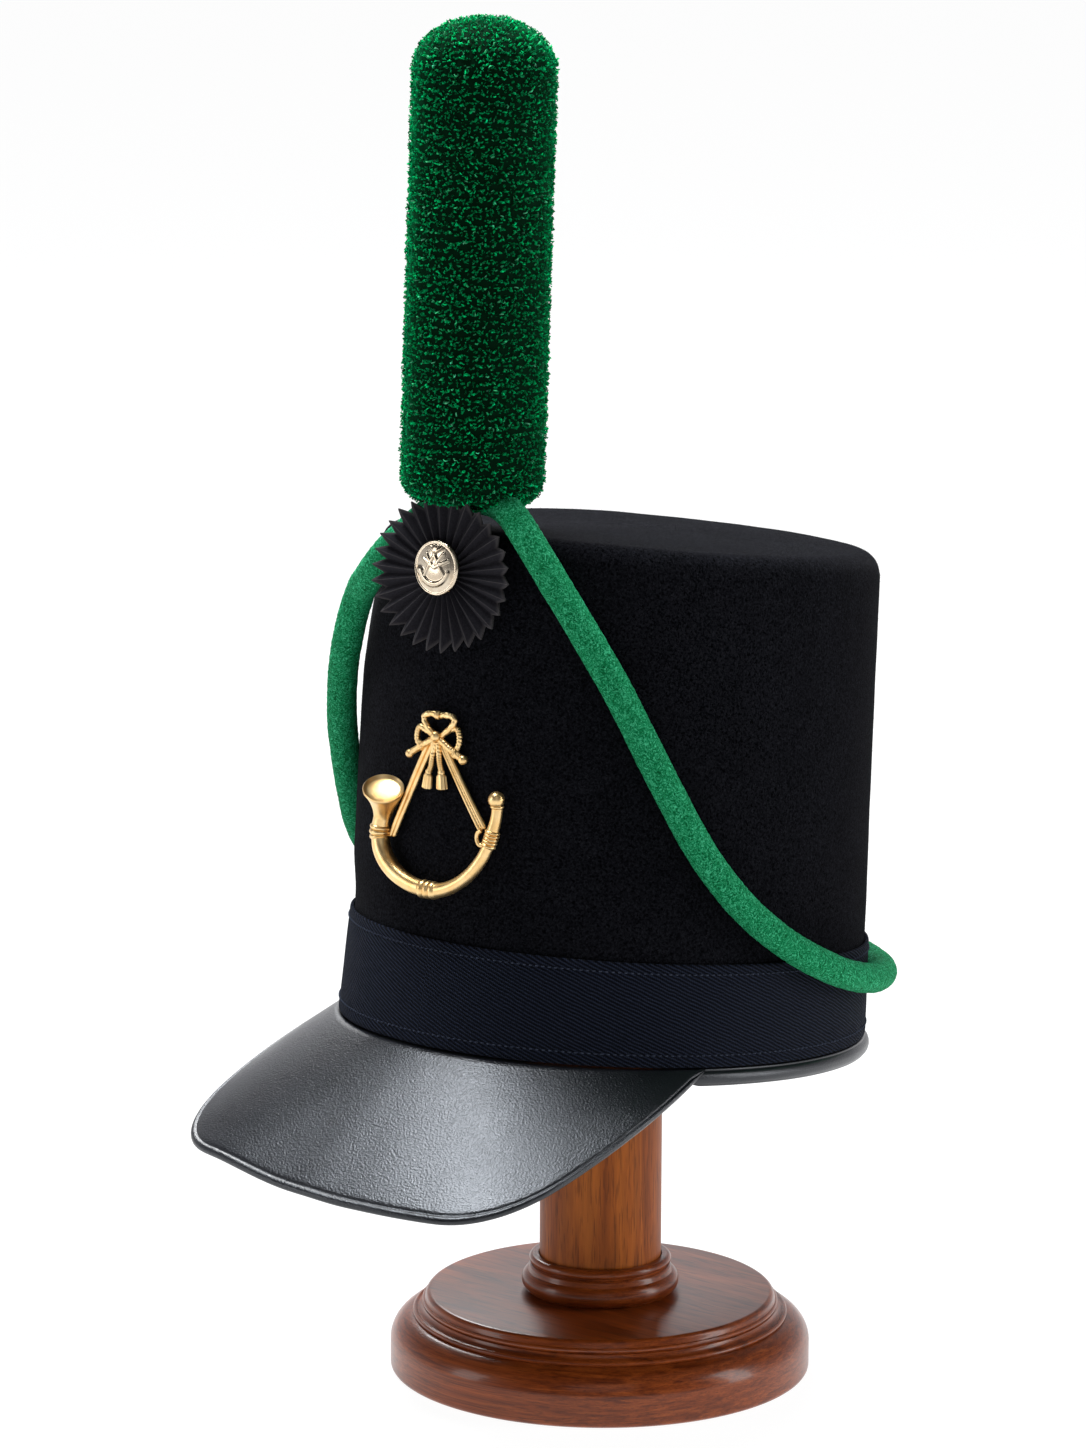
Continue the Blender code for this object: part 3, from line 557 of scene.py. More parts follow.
def crepe():
    made = Maker("cord_cloth", (0.008, 0.200, 0.070), 0.80, Specular_IOR_Level=0.06)
    where = made.place()
    worms = made.noise(where, 620.0, 3.0, 0.55, 2.6)
    fuzz = made.noise(where, 1900.0, 3.0, 0.7)
    height = made.math("MULTIPLY_ADD", fuzz, 0.45, worms)
    made.feed(made.ramp(height, [(0.52, (0.001, 0.070, 0.020)), (0.72, (0.006, 0.230, 0.080)),
                                 (0.95, (0.080, 0.620, 0.320))]), "Base Color")
    made.feed(made.bump(height, 0.00080, 1.0), "Normal")
    return made.material


def ribbon():
    made = Maker("ribbon", (0.008, 0.008, 0.011), 0.80, Sheen_Weight=0.02, Specular_IOR_Level=0.10)
    where = made.place()
    weave = made.noise(where, 1700.0, 3.0, 0.6)
    plain = made.ramp(weave, [(0.3, (0.0085, 0.0080, 0.0110)), (0.7, (0.0190, 0.0180, 0.0230))])
    # The tone mixes in a painted highlight colour along the pleats' ridges and rim
    made.feed(made.blend(made.tone(), plain, (0.058, 0.053, 0.055)), "Base Color")
    made.feed(made.bump(weave, 0.00010, 0.5), "Normal")
    return made.material


def thread():
    made = Maker("thread", (0.006, 0.008, 0.016), 0.85, Specular_IOR_Level=0.1)
    fuzz = made.noise(made.place(), 2200.0)
    made.feed(made.ramp(fuzz, [(0.3, (0.020, 0.025, 0.042)), (0.7, (0.050, 0.060, 0.088))]), "Base Color")
    return made.material


def nap():
    made = Maker("nap", (0.010, 0.010, 0.013), 0.95, Specular_IOR_Level=0.05)
    shade = made.noise(made.place(), 300.0)
    made.feed(made.ramp(shade, [(0.3, (0.003, 0.003, 0.004)), (0.7, (0.036, 0.036, 0.043))]), "Base Color")
    return made.material


# Crown and band

def crown_top(y):
    return CROWN_HEIGHT - TOP_FALL * (y + TOP_FORWARD_SHIFT)


def wall_section(share, inset):
    under_band = BAND_THICKNESS + GAP
    split = BAND_HEIGHT / CROWN_HEIGHT
    if share <= split:
        part = share / split
        half_width = mix(RIM_HALF_WIDTH, BAND_TOP_HALF_WIDTH, part) - under_band
        half_depth = mix(RIM_HALF_DEPTH, BAND_TOP_HALF_DEPTH, part) - under_band
        return half_width - inset, half_depth - inset, 0.0
    part = (share - split) / (1 - split)
    half_width = mix(BAND_TOP_HALF_WIDTH - under_band, TOP_HALF_WIDTH, part)
    half_depth = mix(BAND_TOP_HALF_DEPTH - under_band, TOP_HALF_DEPTH, part)
    return half_width - inset, half_depth - inset, -TOP_FORWARD_SHIFT * part


def oval(half_width, half_depth, shift, turns):
    return half_width * np.sin(turns), shift - half_depth * np.cos(turns)


def front_wall(height):
    share = height / crown_top(-TOP_HALF_DEPTH)
    _, half_depth, shift = wall_section(share, 0.0)
    return half_depth - shift


def crown_rows(inset, turns, wall_rows, round_rows, top_rows):
    """The felt's surface from the rim up over the shoulder to the middle, inset from the outside."""
    rows = []
    wall_top = 1 - SHOULDER_RADIUS / CROWN_HEIGHT
    for share in np.linspace(0.0, wall_top, wall_rows):
        x, y = oval(*wall_section(share, inset), turns)
        rows.append(np.stack([x, y, share * crown_top(y)], 1))
    radius = SHOULDER_RADIUS - inset
    for turn in np.linspace(0.0, math.pi / 2, round_rows + 1)[1:]:
        away = inset + radius * (1 - math.cos(turn))
        x, y = oval(TOP_HALF_WIDTH - away, TOP_HALF_DEPTH - away, -TOP_FORWARD_SHIFT, turns)
        rows.append(np.stack([x, y, crown_top(y) - inset - radius * (1 - math.sin(turn))], 1))
    for scale in np.linspace(1.0, 0.01, top_rows + 1)[1:]:
        x, y = oval((TOP_HALF_WIDTH - SHOULDER_RADIUS) * scale, (TOP_HALF_DEPTH - SHOULDER_RADIUS) * scale,
                    -TOP_FORWARD_SHIFT, turns)
        rows.append(np.stack([x, y, crown_top(y) + TOP_DOME * (1 - scale**2) - inset], 1))
    return np.array(rows)


def add_crown(felt_cloth, nap_cloth):
    """The felt, inside and out, slightly uneven above the band."""
    turns = around(200)
    outside = crown_rows(0.0, turns, 70, 12, 26)
    bare = step(BAND_HEIGHT, BAND_HEIGHT + 0.02, outside[..., 2])
    push = wobble(outside, 0.045) * 0.00040 + wobble(outside, 0.012, 3.0) * 0.00010 - 0.00008
    outside = outside + unit(outside - np.array([0.0, 0.0, 0.09])) * (push * bare)[..., None]
    inside = crown_rows(FELT_THICKNESS, turns, 40, 8, 14)
    for rows in (outside, inside):
        x, y, z = np.moveaxis(rows.copy(), -1, 0)
        slack = step(-0.020, 0.055, -x) * step(0.060, -0.040, y) * step(0.12, CROWN_HEIGHT, z)
        height = z - slack * CROWN_SLACK
        left = step(0.020, 0.060, -x) * step(0.010, -0.050, y)
        full = left * step(0.040, 0.060, height) * step(0.150, 0.120, height)
        tight = left * step(0.140, 0.170, height)
        rows[..., 2] = height
        rows[..., :2] *= (1 + CROWN_FULLER * full - CROWN_TIGHTER * tight)[..., None]
    made = Shape()
    made.grid(to_world(np.concatenate([inside[::-1], outside])), caps=True)
    made.piece("crown_felt", felt_cloth, "felt", ["crown"])
    add_nap(nap_cloth, outside)


def add_nap(cloth, outside):
    """Short fibres lying on the felt above the band, each one a thin triangle."""
    count = NAP_FIBRES
    columns = outside.shape[1]
    row = RANDOM.uniform(NAP_FIRST_ROW, len(outside) - 2.0, count)
    column = RANDOM.integers(0, columns, count)
    low = row.astype(int)
    foot, head = outside[low, column], outside[low + 1, column]
    sideways = outside[low, (column + 1) % columns] - foot
    roots = mix(foot, head, (row - low)[:, None]) + sideways * RANDOM.uniform(0, 1, count)[:, None]
    upward = head - foot
    normal = unit(np.cross(sideways, upward))
    turn = RANDOM.uniform(0, 2 * math.pi, count)[:, None]
    lying = unit(sideways) * np.cos(turn) + unit(upward) * np.sin(turn)
    length = RANDOM.uniform(0.0004, 0.0011, count)[:, None]
    rise = RANDOM.uniform(0.08, 0.50, count)[:, None]
    tips = roots + lying * length + normal * length * rise
    breadth = np.cross(lying, normal) * NAP_HALF_BREADTH
    sunk = roots - normal * 0.00005
    fibres = np.stack([sunk - breadth, sunk + breadth, tips], 1)
    made = Shape()
    made.add(to_world(fibres.reshape(-1, 3)), np.arange(count * 3).reshape(-1, 3))
    made.piece("crown_nap", cloth, "felt", tidy=False, smooth=180)


def band_surface(turns, height, out):
    """Points of the band at a height above the rim, out from its outer face."""
    part = height / BAND_HEIGHT
    half_width = mix(RIM_HALF_WIDTH, BAND_TOP_HALF_WIDTH, part) + out
    half_depth = mix(RIM_HALF_DEPTH, BAND_TOP_HALF_DEPTH, part) + out
    x, y = oval(half_width, half_depth, 0.0, turns)
    return np.stack([x, y, height / CROWN_HEIGHT * crown_top(y)], -1)


def add_band(cloth, sewing):
    """The band with its folded edges and two rows of stitches."""
    # height above the rim and distance out from the band's face, in millimetres
    profile = [(0.25, -1.15), (0.02, -0.85), (0.0, -0.40), (0.20, -0.08), (0.60, 0.05), (1.6, 0.12),
               (3.2, 0.12), (3.9, 0.02), (4.3, -0.04), (4.8, 0.00), (6.0, 0.06), (9.0, 0.08)]
    profile += [(height, 0.08) for height in range(11, 31, 2)]
    profile += [(31.4, 0.06), (32.0, 0.0), (32.5, -0.04), (33.0, 0.02), (33.8, 0.12), (34.9, 0.12),
                (35.4, 0.05), (35.75, -0.10), (35.9, -0.40), (35.9, -0.85), (35.65, -1.15)]
    turns = np.linspace(0, 2 * math.pi, 361)
    rows = np.array([band_surface(turns, height / 1000, out / 1000) for height, out in profile])
    away = unit(rows * np.array([1.0, 1.0, 0.0]))
    rows = rows + away * (wobble(rows, 0.022, 7.0) * 0.00022)[..., None]
    up = np.array([height / 1000 for height, _ in profile])
    uv = np.stack(np.broadcast_arrays(run_along(rows[8])[None, :], up[:, None]), -1)
    made = Shape()
    made.grid(to_world(np.concatenate([rows, rows[:1]])), closed=False)
    made.piece("band_cloth", cloth, "twill", ["band"], uv=np.concatenate([uv, uv[:1]]), smooth=180)

    stitches = Shape()
    turn = around(6)
    pitch = 2 * math.pi / STITCH_COUNT
    proud = 1 + np.array([-0.0025, 0.0018, 0.0026, 0.0018, -0.0025])[:, None]
    size = np.array([0.00014, 0.00027, 0.00031, 0.00027, 0.00014])[:, None, None]
    for height in STITCH_HEIGHTS:
        for k in range(STITCH_COUNT):
            path = band_surface((k + 0.12) * pitch + np.linspace(0.0, pitch * STITCH_SHARE, 5), height, 0.0)
            path[:, :2] *= proud
            out = unit(path[2] * np.array([1.0, 1.0, 0.0]))
            rise = np.cross(unit(path[-1] - path[0]), out)
            stitches.grid(to_world(path[:, None] + circles(out, rise, turn) * size))
    stitches.piece("band_stitches", sewing, "twill", tidy=False, smooth=180)


# Leather

def rim_point(turn, inset, height):
    x, y = oval(RIM_HALF_WIDTH - inset, RIM_HALF_DEPTH - inset, 0.0, turn)
    return np.array([x, y, height])


def add_binding(hide):
    """A rolled welt with a narrow piped lip above and a turned edge below."""
    # inset from the band's face and height, in millimetres
    section = [(2.4, -0.35), (0.9, -0.32), (0.35, -0.36), (0.02, -0.55), (-0.12, -0.85), (-0.05, -1.12),
               (-0.30, -1.30), (-0.90, -1.62), (-1.42, -2.20), (-1.72, -2.95), (-1.80, -3.80), (-1.66, -4.60),
               (-1.30, -5.28), (-0.90, -5.66), (-0.72, -5.84), (-0.62, -6.12), (-0.30, -6.38), (0.30, -6.48),
               (1.6, -6.48), (2.4, -6.2)]
    turns = np.linspace(BINDING_END_ANGLE, 2 * math.pi - BINDING_END_ANGLE, 260)
    rows = np.array([[rim_point(turn, inset / 1000, height / 1000) for inset, height in section]
                     for turn in turns])
    rows[..., 2] += wobble(rows, 0.03, 11.0) * 0.00012
    near_end = step(math.radians(65.0), math.radians(59.5), np.minimum(turns, 2 * math.pi - turns))[:, None]
    rows[..., 2] = mix(rows[..., 2], np.maximum(rows[..., 2], -0.0024) - 0.0012, near_end)
    made = Shape()
    made.grid(to_world(rows), caps=True)
    made.piece("binding_leather", hide, "leather", ["rim_binding"])


def peak_edge(share):
    """A point of the peak's outer edge, as in the CAD source but with a straighter side below nought."""
    end = rim_point(PEAK_END_ANGLE, 0.0, 0.0)
    corner = np.array([PEAK_HALF_WIDTH, -PEAK_REACH + PEAK_CURVE, -PEAK_DROP])
    middle = (corner + end) / 2
    outward = np.array([end[1] - corner[1], corner[0] - end[0], 0.0])
    bulged = middle + unit(outward) * (PEAK_SIDE_BULGE if share >= 0 else PEAK_LEFT_BULGE)
    cut = PEAK_CORNER_RADIUS / (PEAK_HALF_WIDTH * 2)
    reach = abs(share)

    def edge(at):
        if at <= PEAK_CORNER_SHARE:
            part = at / PEAK_CORNER_SHARE
            return np.array([PEAK_HALF_WIDTH * part, -PEAK_REACH + PEAK_CURVE * part**2, -PEAK_DROP])
        part = (at - PEAK_CORNER_SHARE) / (1 - PEAK_CORNER_SHARE)
        return corner * (1 - part) ** 2 + (bulged * 2 - middle) * 2 * part * (1 - part) + end * part**2

    if abs(reach - PEAK_CORNER_SHARE) < cut:
        first, last = edge(PEAK_CORNER_SHARE - cut), edge(PEAK_CORNER_SHARE + cut)
        part = (reach - PEAK_CORNER_SHARE + cut) / (2 * cut)
        point = first * (1 - part) ** 2 + corner * 2 * part * (1 - part) + last * part**2
    else:
        point = edge(reach)
    return point * np.array([1.0 if share >= 0 else -1.0, 1.0, 1.0])


def add_peak(hide):
    """The peak's sheet, with a piped edge and a creased line inside it."""
    level = -GAP - LEATHER_THICKNESS / 2
    shares = np.linspace(-1.0, 1.0, 241)

    def at_rim(inset, height):
        return np.array([rim_point(PEAK_END_ANGLE * share, inset, height) for share in shares])

    roots = at_rim(0.0, level)
    edges = np.array([peak_edge(share) + [0.0, 0.0, level] for share in shares])
    edges[:, 2] -= PEAK_FRONT_DROP * step(0.62, 0.20, np.abs(shares))
    edges[:, 2] += PEAK_LEFT_LIFT * step(-0.02, -0.34, shares) * step(-1.0, -0.62, shares)
    edges[:, 2] -= PEAK_MIDDLE_DROP * step(-0.05, 0.12, shares) * step(0.80, 0.50, shares)
    for _ in range(6):
        edges[1:-1] = (edges[:-2] + edges[1:-1] * 2 + edges[2:]) / 4
    length = np.linalg.norm(edges - roots, axis=1)
    # distance in from the edge and height above the sheet's middle, in millimetres
    rim = [(7.0, 1.10), (5.0, 1.10), (4.2, 1.08), (3.7, 0.98), (3.3, 0.80), (2.95, 0.78), (2.6, 1.00),
           (2.2, 1.25), (1.7, 1.38), (1.1, 1.32), (0.6, 1.08), (0.25, 0.72), (0.05, 0.28), (0.0, 0.0)]
    under = [(0.05, -0.30), (0.25, -0.75), (0.6, -1.08), (1.1, -1.24), (1.8, -1.24), (2.6, -1.10),
             (4.2, -1.10), (7.0, -1.10)]
    inner = np.linspace(0.0, 1.0, 44)[:-1]

    def sheet(out):
        """The sheet's arched middle, a share of the way out from the rim to the edge."""
        arch = PEAK_ARCH * 4 * out * (1 - out) * (1 - shares**2)
        return roots + (edges - roots) * out[:, None] + np.stack([0 * arch, -arch * 0.5, arch], 1)

    def row(out, height):
        point = sheet(out)
        more = np.minimum(out + 0.01, 1.0)
        normal = np.cross(sheet(more) - sheet(more - 0.02), np.gradient(point, axis=0))
        size = np.linalg.norm(normal, axis=1)[:, None]
        normal = np.where(size > 1e-12, normal / np.maximum(size, 1e-12), [0.0, 0.0, 1.0])
        normal *= np.where(normal[:, 2] < 0, -1.0, 1.0)[:, None]
        return point + normal * height

    def from_edge(distance):
        return 1 - np.minimum(distance / 1000 / np.maximum(length, 1e-6), 0.985 * distance / 7.2)

    half = LEATHER_THICKNESS / 2
    last = from_edge(7.0)
    rows = [at_rim(PEAK_TAB, level + half)]
    rows += [row(mix(0.015, last, at), half) for at in inner]
    rows += [row(from_edge(distance), height / 1000) for distance, height in rim + under]
    rows += [row(mix(0.015, last, at), -half) for at in inner[::-1]]
    rows += [at_rim(PEAK_TAB, level - half)]
    rows = np.array(rows)
    rows[..., 2] += wobble(rows, 0.05, 5.0) * 0.00035 * step(0.0, 0.02, -rows[..., 2])
    made = Shape()
    made.grid(to_world(np.swapaxes(rows, 0, 1)), closed=True)
    made.piece("peak_leather", hide, "leather", ["peak"], smooth=180)


# Cockade and button

def add_cockade(cloth):
    """Thirty pressed pleats, pointed at the rim, as a folded ribbon with two faces."""
    samples = 20
    count = COCKADE_PLEATS * samples
    turn = np.arange(count) / count * 2 * math.pi
    pleat = turn * COCKADE_PLEATS / (2 * math.pi)
    fold = 1 - np.abs(pleat % 1.0 * 2 - 1) * 2
    ridge = np.clip(fold * 1.12, -1.0, 1.0)
    uneven = RANDOM.normal(0.0, 1.0, COCKADE_PLEATS)[np.floor(pleat).astype(int)]
    swirl = 0.12 * 2 * math.pi / COCKADE_PLEATS
    faces = []
    ridge_and_rim_highlight = []
    for side in (1.0, -1.0):
        rows = []
        for part in np.append(np.linspace(0.0, 0.985, 17), 1.0):
            radius = mix(HUB_RADIUS * 0.55, COCKADE_RADIUS - PLEAT_NOTCH * 0.5, part)
            radius = radius + PLEAT_NOTCH * 0.5 * fold * part**2 + 0.00022 * uneven * part
            depth = mix(HUB_RELIEF, PLEAT_DEPTH / 2, part**0.8)
            back = HUB_BACK * (1 - part) ** 1.3
            lean = swirl * part**2 * 0.35 * (ridge * 0.5 + 0.5)
            x = radius * np.sin(turn + lean)
            y = COCKADE_BACK - COCKADE_FORWARD + back + x * COCKADE_TURN
            y = y - ridge * depth - side * RIBBON_THICKNESS / 2
            rows.append(np.stack([x + COCKADE_ACROSS, y, COCKADE_HEIGHT + radius * np.cos(turn + lean)], 1))
            # Painted highlights: a light line along each pleat's ridge, brighter towards the rim, and a light
            # band along the rim's edge
            line = np.exp(-np.abs(fold - 1) / 0.05) * (0.30 + 0.60 * part)
            rim = np.where(part > 0.97, 0.65, 0.0)
            ridge_and_rim_highlight.append(np.maximum(line, rim))
        faces.append(rows if side > 0 else rows[::-1])
    rows = np.array(faces[0] + faces[1])
    ridge_and_rim_highlight = np.array(ridge_and_rim_highlight[:18] + ridge_and_rim_highlight[18:][::-1])
    made = Shape()
    made.grid(to_world(rows), caps=True)
    ridge_and_rim_highlight = np.concatenate([ridge_and_rim_highlight.ravel(), [0.0, 0.0]])
    made.piece("cockade_ribbon", cloth, "ribbon", ["cockade"], tone=ridge_and_rim_highlight, smooth=38)


def near_line(x, z, points):
    """Distance from each place to a run of straight pieces."""
    best = np.full(x.shape, 1.0)
    for (ax, az), (bx, bz) in zip(points, points[1:]):
        dx, dz = bx - ax, bz - az
        part = np.clip(((x - ax) * dx + (z - az) * dz) / (dx * dx + dz * dz), 0, 1)
        best = np.minimum(best, np.hypot(x - ax - dx * part, z - az - dz * part))
    return best


def add_button(finish):
    """A domed button with a plain rim and a relief of a slung horn under a sprig."""
    rings = np.concatenate([np.linspace(0.02, 0.88, 60), [0.905, 0.93, 0.955, 0.98, 0.995, 1.0]])
    turn = around(168)
    radius = rings[:, None] * np.ones(len(turn))
    x = radius * np.sin(turn) / RELIEF_SIZE
    z = radius * np.cos(turn) / RELIEF_SIZE
    bend = [(math.sin(a) * 0.52, 0.06 - math.cos(a) * 0.52) for a in np.radians(np.linspace(-62, 74, 14))]
    horn = near_line(x, z, bend)
    taper = 0.05 + 0.055 * np.clip((0.55 - x) / 1.1, 0, 1)
    relief = 0.55 * np.exp(-((horn / taper) ** 4))
    bell = np.hypot((x + 0.52) / 0.15, (z + 0.13) / 0.11)
    relief = np.maximum(relief, 0.62 * np.exp(-(bell**4)))
    for line in ([(-0.34, -0.28), (0.02, 0.40)], [(0.42, -0.20), (-0.02, 0.40)],
                 [(-0.42, 0.22), (0.05, 0.02), (0.48, 0.26)], [(-0.30, 0.36), (-0.06, 0.10)],
                 [(0.30, 0.42), (0.10, 0.12)]):
        relief = np.maximum(relief, 0.40 * np.exp(-((near_line(x, z, line) / 0.042) ** 4)))
    for k in range(5):
        a = math.radians(-60 + 30 * k)
        way = np.array([math.sin(a), math.cos(a)])
        leaf = [way * 0.05 + (0.0, 0.44), way * 0.25 + (0.0, 0.46)]
        relief = np.maximum(relief, 0.45 * np.exp(-((near_line(x, z, leaf) / 0.040) ** 4)))
    x, z = x * RELIEF_SIZE, z * RELIEF_SIZE
    relief = relief * step(0.0, 0.06, 0.87 - radius)
    dome = 1.75 * (1 - radius**2)
    lip = 0.42 * np.exp(-(((radius - 0.945) / 0.035) ** 4))
    height = (dome + lip + relief * 1.45) / 1000 + 0.0009
    height[-1] = 0.0006
    seat = BUTTON_SEAT
    rows = np.stack([BUTTON_ACROSS + x * BUTTON_RADIUS, seat - height, BUTTON_HEIGHT + z * BUTTON_RADIUS], -1)
    back = rows[-1].copy()
    back[:, 1] = seat
    shank = [np.stack([BUTTON_ACROSS + np.sin(turn) * thick, np.full(len(turn), y),
                       BUTTON_HEIGHT + np.cos(turn) * thick], 1)
             for thick, y in ((0.0045, seat), (0.0045, seat + BUTTON_BACK), (0.0003, seat + BUTTON_BACK))]
    made = Shape()
    made.grid(to_world(np.concatenate([rows, back[None], np.array(shank)])), caps=True)
    slope = np.hypot(*np.gradient(relief))
    # Painted shade: darker on the relief's steep sides, and darker in the low field inside the rim
    relief_shade = np.clip(1.15 - 4.5 * slope - 0.22 * step(0.2, 0.0, relief) * (radius < 0.86), 0.06, 1.0)
    tone = np.concatenate([relief_shade.ravel(), np.ones(4 * len(turn) + 2)])
    made.piece("button_relief", finish, "silver_gilt", ["button"], smooth=180, tone=tone)


# Plume

def plume_radius(along):
    if along < PLUME_BOTTOM_ROUND:
        part = 1 - along / PLUME_BOTTOM_ROUND
        return PLUME_RADIUS - PLUME_BOTTOM_ROUND * (1 - math.sqrt(max(0.0, 1 - part**2)))
    above = along - (PLUME_LENGTH - PLUME_TOP_ROUND)
    if above > 0:
        return PLUME_RADIUS * math.sqrt(max(0.0, 1 - (above / PLUME_TOP_ROUND) ** 2))
    return PLUME_RADIUS


def plume_to_hat(points):
    """From the plume's own frame, its axis along Z, to the hat's."""
    turn = np.array(Matrix.Rotation(PLUME_LEAN, 3, "X"))
    return np.asarray(points) @ turn.T + np.array([0.0, -PLUME_BASE_FORWARD, PLUME_BASE_HEIGHT])


def plume_room(points, route):
    """True where a point of the plume would lie in the cockade or in the cord."""
    from_centre = np.hypot(points[..., 0] - COCKADE_ACROSS, points[..., 2] - COCKADE_HEIGHT)
    depth = points[..., 1] + COCKADE_FORWARD - COCKADE_BACK - points[..., 0] * COCKADE_TURN
    in_cockade = (from_centre < COCKADE_RADIUS + 0.0004) & (np.abs(depth) < 0.0031)
    flat = points.reshape(-1, 3)
    nearest = np.full(len(flat), 1.0)
    for spot in route:
        nearest = np.minimum(nearest, np.linalg.norm(flat - spot, axis=1))
    in_cord = (nearest < CORD_DIAMETER / 2 - 0.0002).reshape(points.shape[:-1])
    return in_cockade | in_cord


def add_plume(yarn):
    """A core, painted dark as shade, under rows of curled wool tufts."""
    fine = np.linspace(0.0, PLUME_LENGTH, 900)
    outline = np.array([(PLUME_FOOT_RADIUS, 0.0)] + [(plume_radius(along), along) for along in fine])
    run = run_along(outline)

    def at_run(distance):
        """The radius and height at a distance along the outline, and the way out from there."""
        spot, ahead, behind = (np.array([np.interp(distance + more, run, outline[:, k]) for k in (0, 1)])
                               for more in (0.0, 0.0008, -0.0008))
        way = ahead - behind
        return spot, unit(np.array([way[1], -way[0]]))

    route = curve_points(CORD_ROUTE, 400)
    route = route[(route[:, 2] > 0.165) & (route[:, 2] < PLUME_BASE_HEIGHT)]
    profile = []
    for distance in np.linspace(0.0, run[-1] * 0.9985, 150):
        spot, normal = at_run(distance)
        radius, height = spot - PLUME_CORE_INSET * normal
        profile.append((max(radius, 0.0008), height))
    rows = turned(profile, 96)
    axis = rows * np.array([1.0, 1.0, 0.0])
    rows = rows + axis / PLUME_RADIUS * (wobble(rows, 0.0016, 2.0) * 0.0007)[..., None]
    hat_rows = plume_to_hat(rows)
    blocked = plume_room(hat_rows, route)[..., None]
    core = Shape()
    slimmer = plume_to_hat(rows * np.array([0.72, 0.72, 1.0]))
    core.grid(to_world(np.where(blocked, slimmer, hat_rows)), caps=True)
    core.piece("plume_core", yarn, "plume_wool", ["plume"], smooth=180, tone=[CORE_PAINTED_SHADE] * core.count)

    starts, normals, ways = [], [], []
    line = TUFT_FIRST_ROW
    while line < run[-1]:
        spot, _ = at_run(line)
        number = max(4, int(2 * math.pi * max(spot[0], 0.001) / TUFT_SPACING))
        angle = (np.arange(number) + RANDOM.uniform(-0.45, 0.45, number)) / number * 2 * math.pi
        for a in angle:
            where = min(max(line + RANDOM.normal(0.0, 0.00060), 0.0), run[-1])
            spot, normal = at_run(where)
            out = np.array([math.sin(a), -math.cos(a), 0.0])
            starts.append(out * spot[0] + np.array([0.0, 0.0, spot[1]]))
            normals.append(out * normal[0] + np.array([0.0, 0.0, normal[1]]))
            ways.append(np.array([math.cos(a), math.sin(a), 0.0]))
        line += TUFT_ROW_GAP
    starts, normals, ways = np.array(starts), np.array(normals), np.array(ways)
    ups = np.cross(normals, ways)
    total = len(starts)
    slant = RANDOM.normal(0.0, 0.75, total)[:, None]
    flip = np.where(RANDOM.uniform(0, 1, total) < 0.5, -1.0, 1.0)[:, None]
    along = ways * np.cos(slant) * flip + ups * np.sin(slant)
    across = np.cross(normals, along)[:, None]
    size = RANDOM.uniform(0.00045, 0.00100, total)[:, None, None]
    sweep = RANDOM.uniform(1.15, 1.9, total)[:, None] * math.pi
    rings, corners = 4, 3
    at = np.linspace(0.0, 1.0, rings)[None, :]
    angle = (sweep * at)[..., None]
    tip_out = RANDOM.uniform(0.75, 1.18, total)[:, None, None]
    starts = starts - normals * (TUFT_DEPTH - wobble(starts, 0.0030, 4.0) * 0.0006)[:, None]
    rise = size * np.sin(np.minimum(angle, math.pi * 0.9)) * 1.25 + 0.0011 * at[..., None] ** 0.5
    path = starts[:, None] + normals[:, None] * rise * tip_out
    path = path + along[:, None] * size * (1 - np.cos(angle)) * 0.8
    path = path + across * size * np.sin(angle * 0.7) * 0.5
    thick = (RANDOM.uniform(0.00016, 0.00031, total)[:, None] * (1 - 0.45 * at**2))[..., None, None]
    tangent = unit(np.gradient(path, axis=1))
    first = unit(across - tangent * (across * tangent).sum(2)[..., None])
    ring = circles(first, np.cross(tangent, first), around(corners))
    points = plume_to_hat(path[:, :, None] + ring * thick)
    keep = ~plume_room(points, route).any(axis=(1, 2))
    points = points[keep]
    out = ((path - starts[:, None]) * normals[:, None]).sum(2)[keep]
    # The tufts are painted darker towards their roots, as shade deep in the pile, and some tips carry a
    # painted glint
    shade = np.clip(out / TUFT_DEPTH, 0.0, 1.0)
    brightness = RANDOM.uniform(0.25, 1.35, total)[keep][:, None]
    tone = mix(TUFT_SHADED_ROOT, TUFT_LIT_TIP, (shade * brightness)[..., None] ** 2.5)
    glint = (RANDOM.uniform(0, 1, total)[keep] < 0.11)[:, None, None] * (shade[..., None] ** 4)
    tone = np.minimum(tone + glint * TUFT_GLINT, 0.9)
    tone = np.repeat(tone[:, :, None], corners, axis=2)
    height = plume_to_hat(starts[keep])[:, 2] - PLUME_BASE_HEIGHT
    low = height < PLUME_SPLIT
    for name, chosen in (("plume_tufts_low", low), ("plume_tufts_high", ~low)):
        some = points[chosen]
        block = np.arange(len(some))[:, None, None] * rings * corners + quads_between(rings, corners)[None]
        tufts = Shape()
        tufts.add(to_world(some.reshape(-1, 3)), block.reshape(-1, 4))
        tufts.piece(name, yarn, "plume_wool", tone=tone[chosen].reshape(-1, 3), tidy=False, smooth=180)


# Badge

# across and up the badge as shares of its size, and radius
HORN = [
    (-0.915, 0.385, 0.0031), (-0.930, 0.345, 0.0032), (-0.938, 0.305, 0.0033), (-0.930, 0.265, 0.0032),
    (-0.885, 0.210, 0.0033), (-0.775, 0.150, 0.0033), (-0.580, 0.090, 0.0031), (-0.322, 0.050, 0.0029),
    (-0.078, 0.038, 0.0028), (0.149, 0.046, 0.0026), (0.375, 0.090, 0.0024), (0.573, 0.162, 0.0023),
    (0.720, 0.248, 0.0022), (0.809, 0.330, 0.0021), (0.850, 0.385, 0.0021), (0.876, 0.435, 0.0021),
    (0.905, 0.500, 0.0020), (0.918, 0.560, 0.0020), (0.920, 0.580, 0.0021),
]
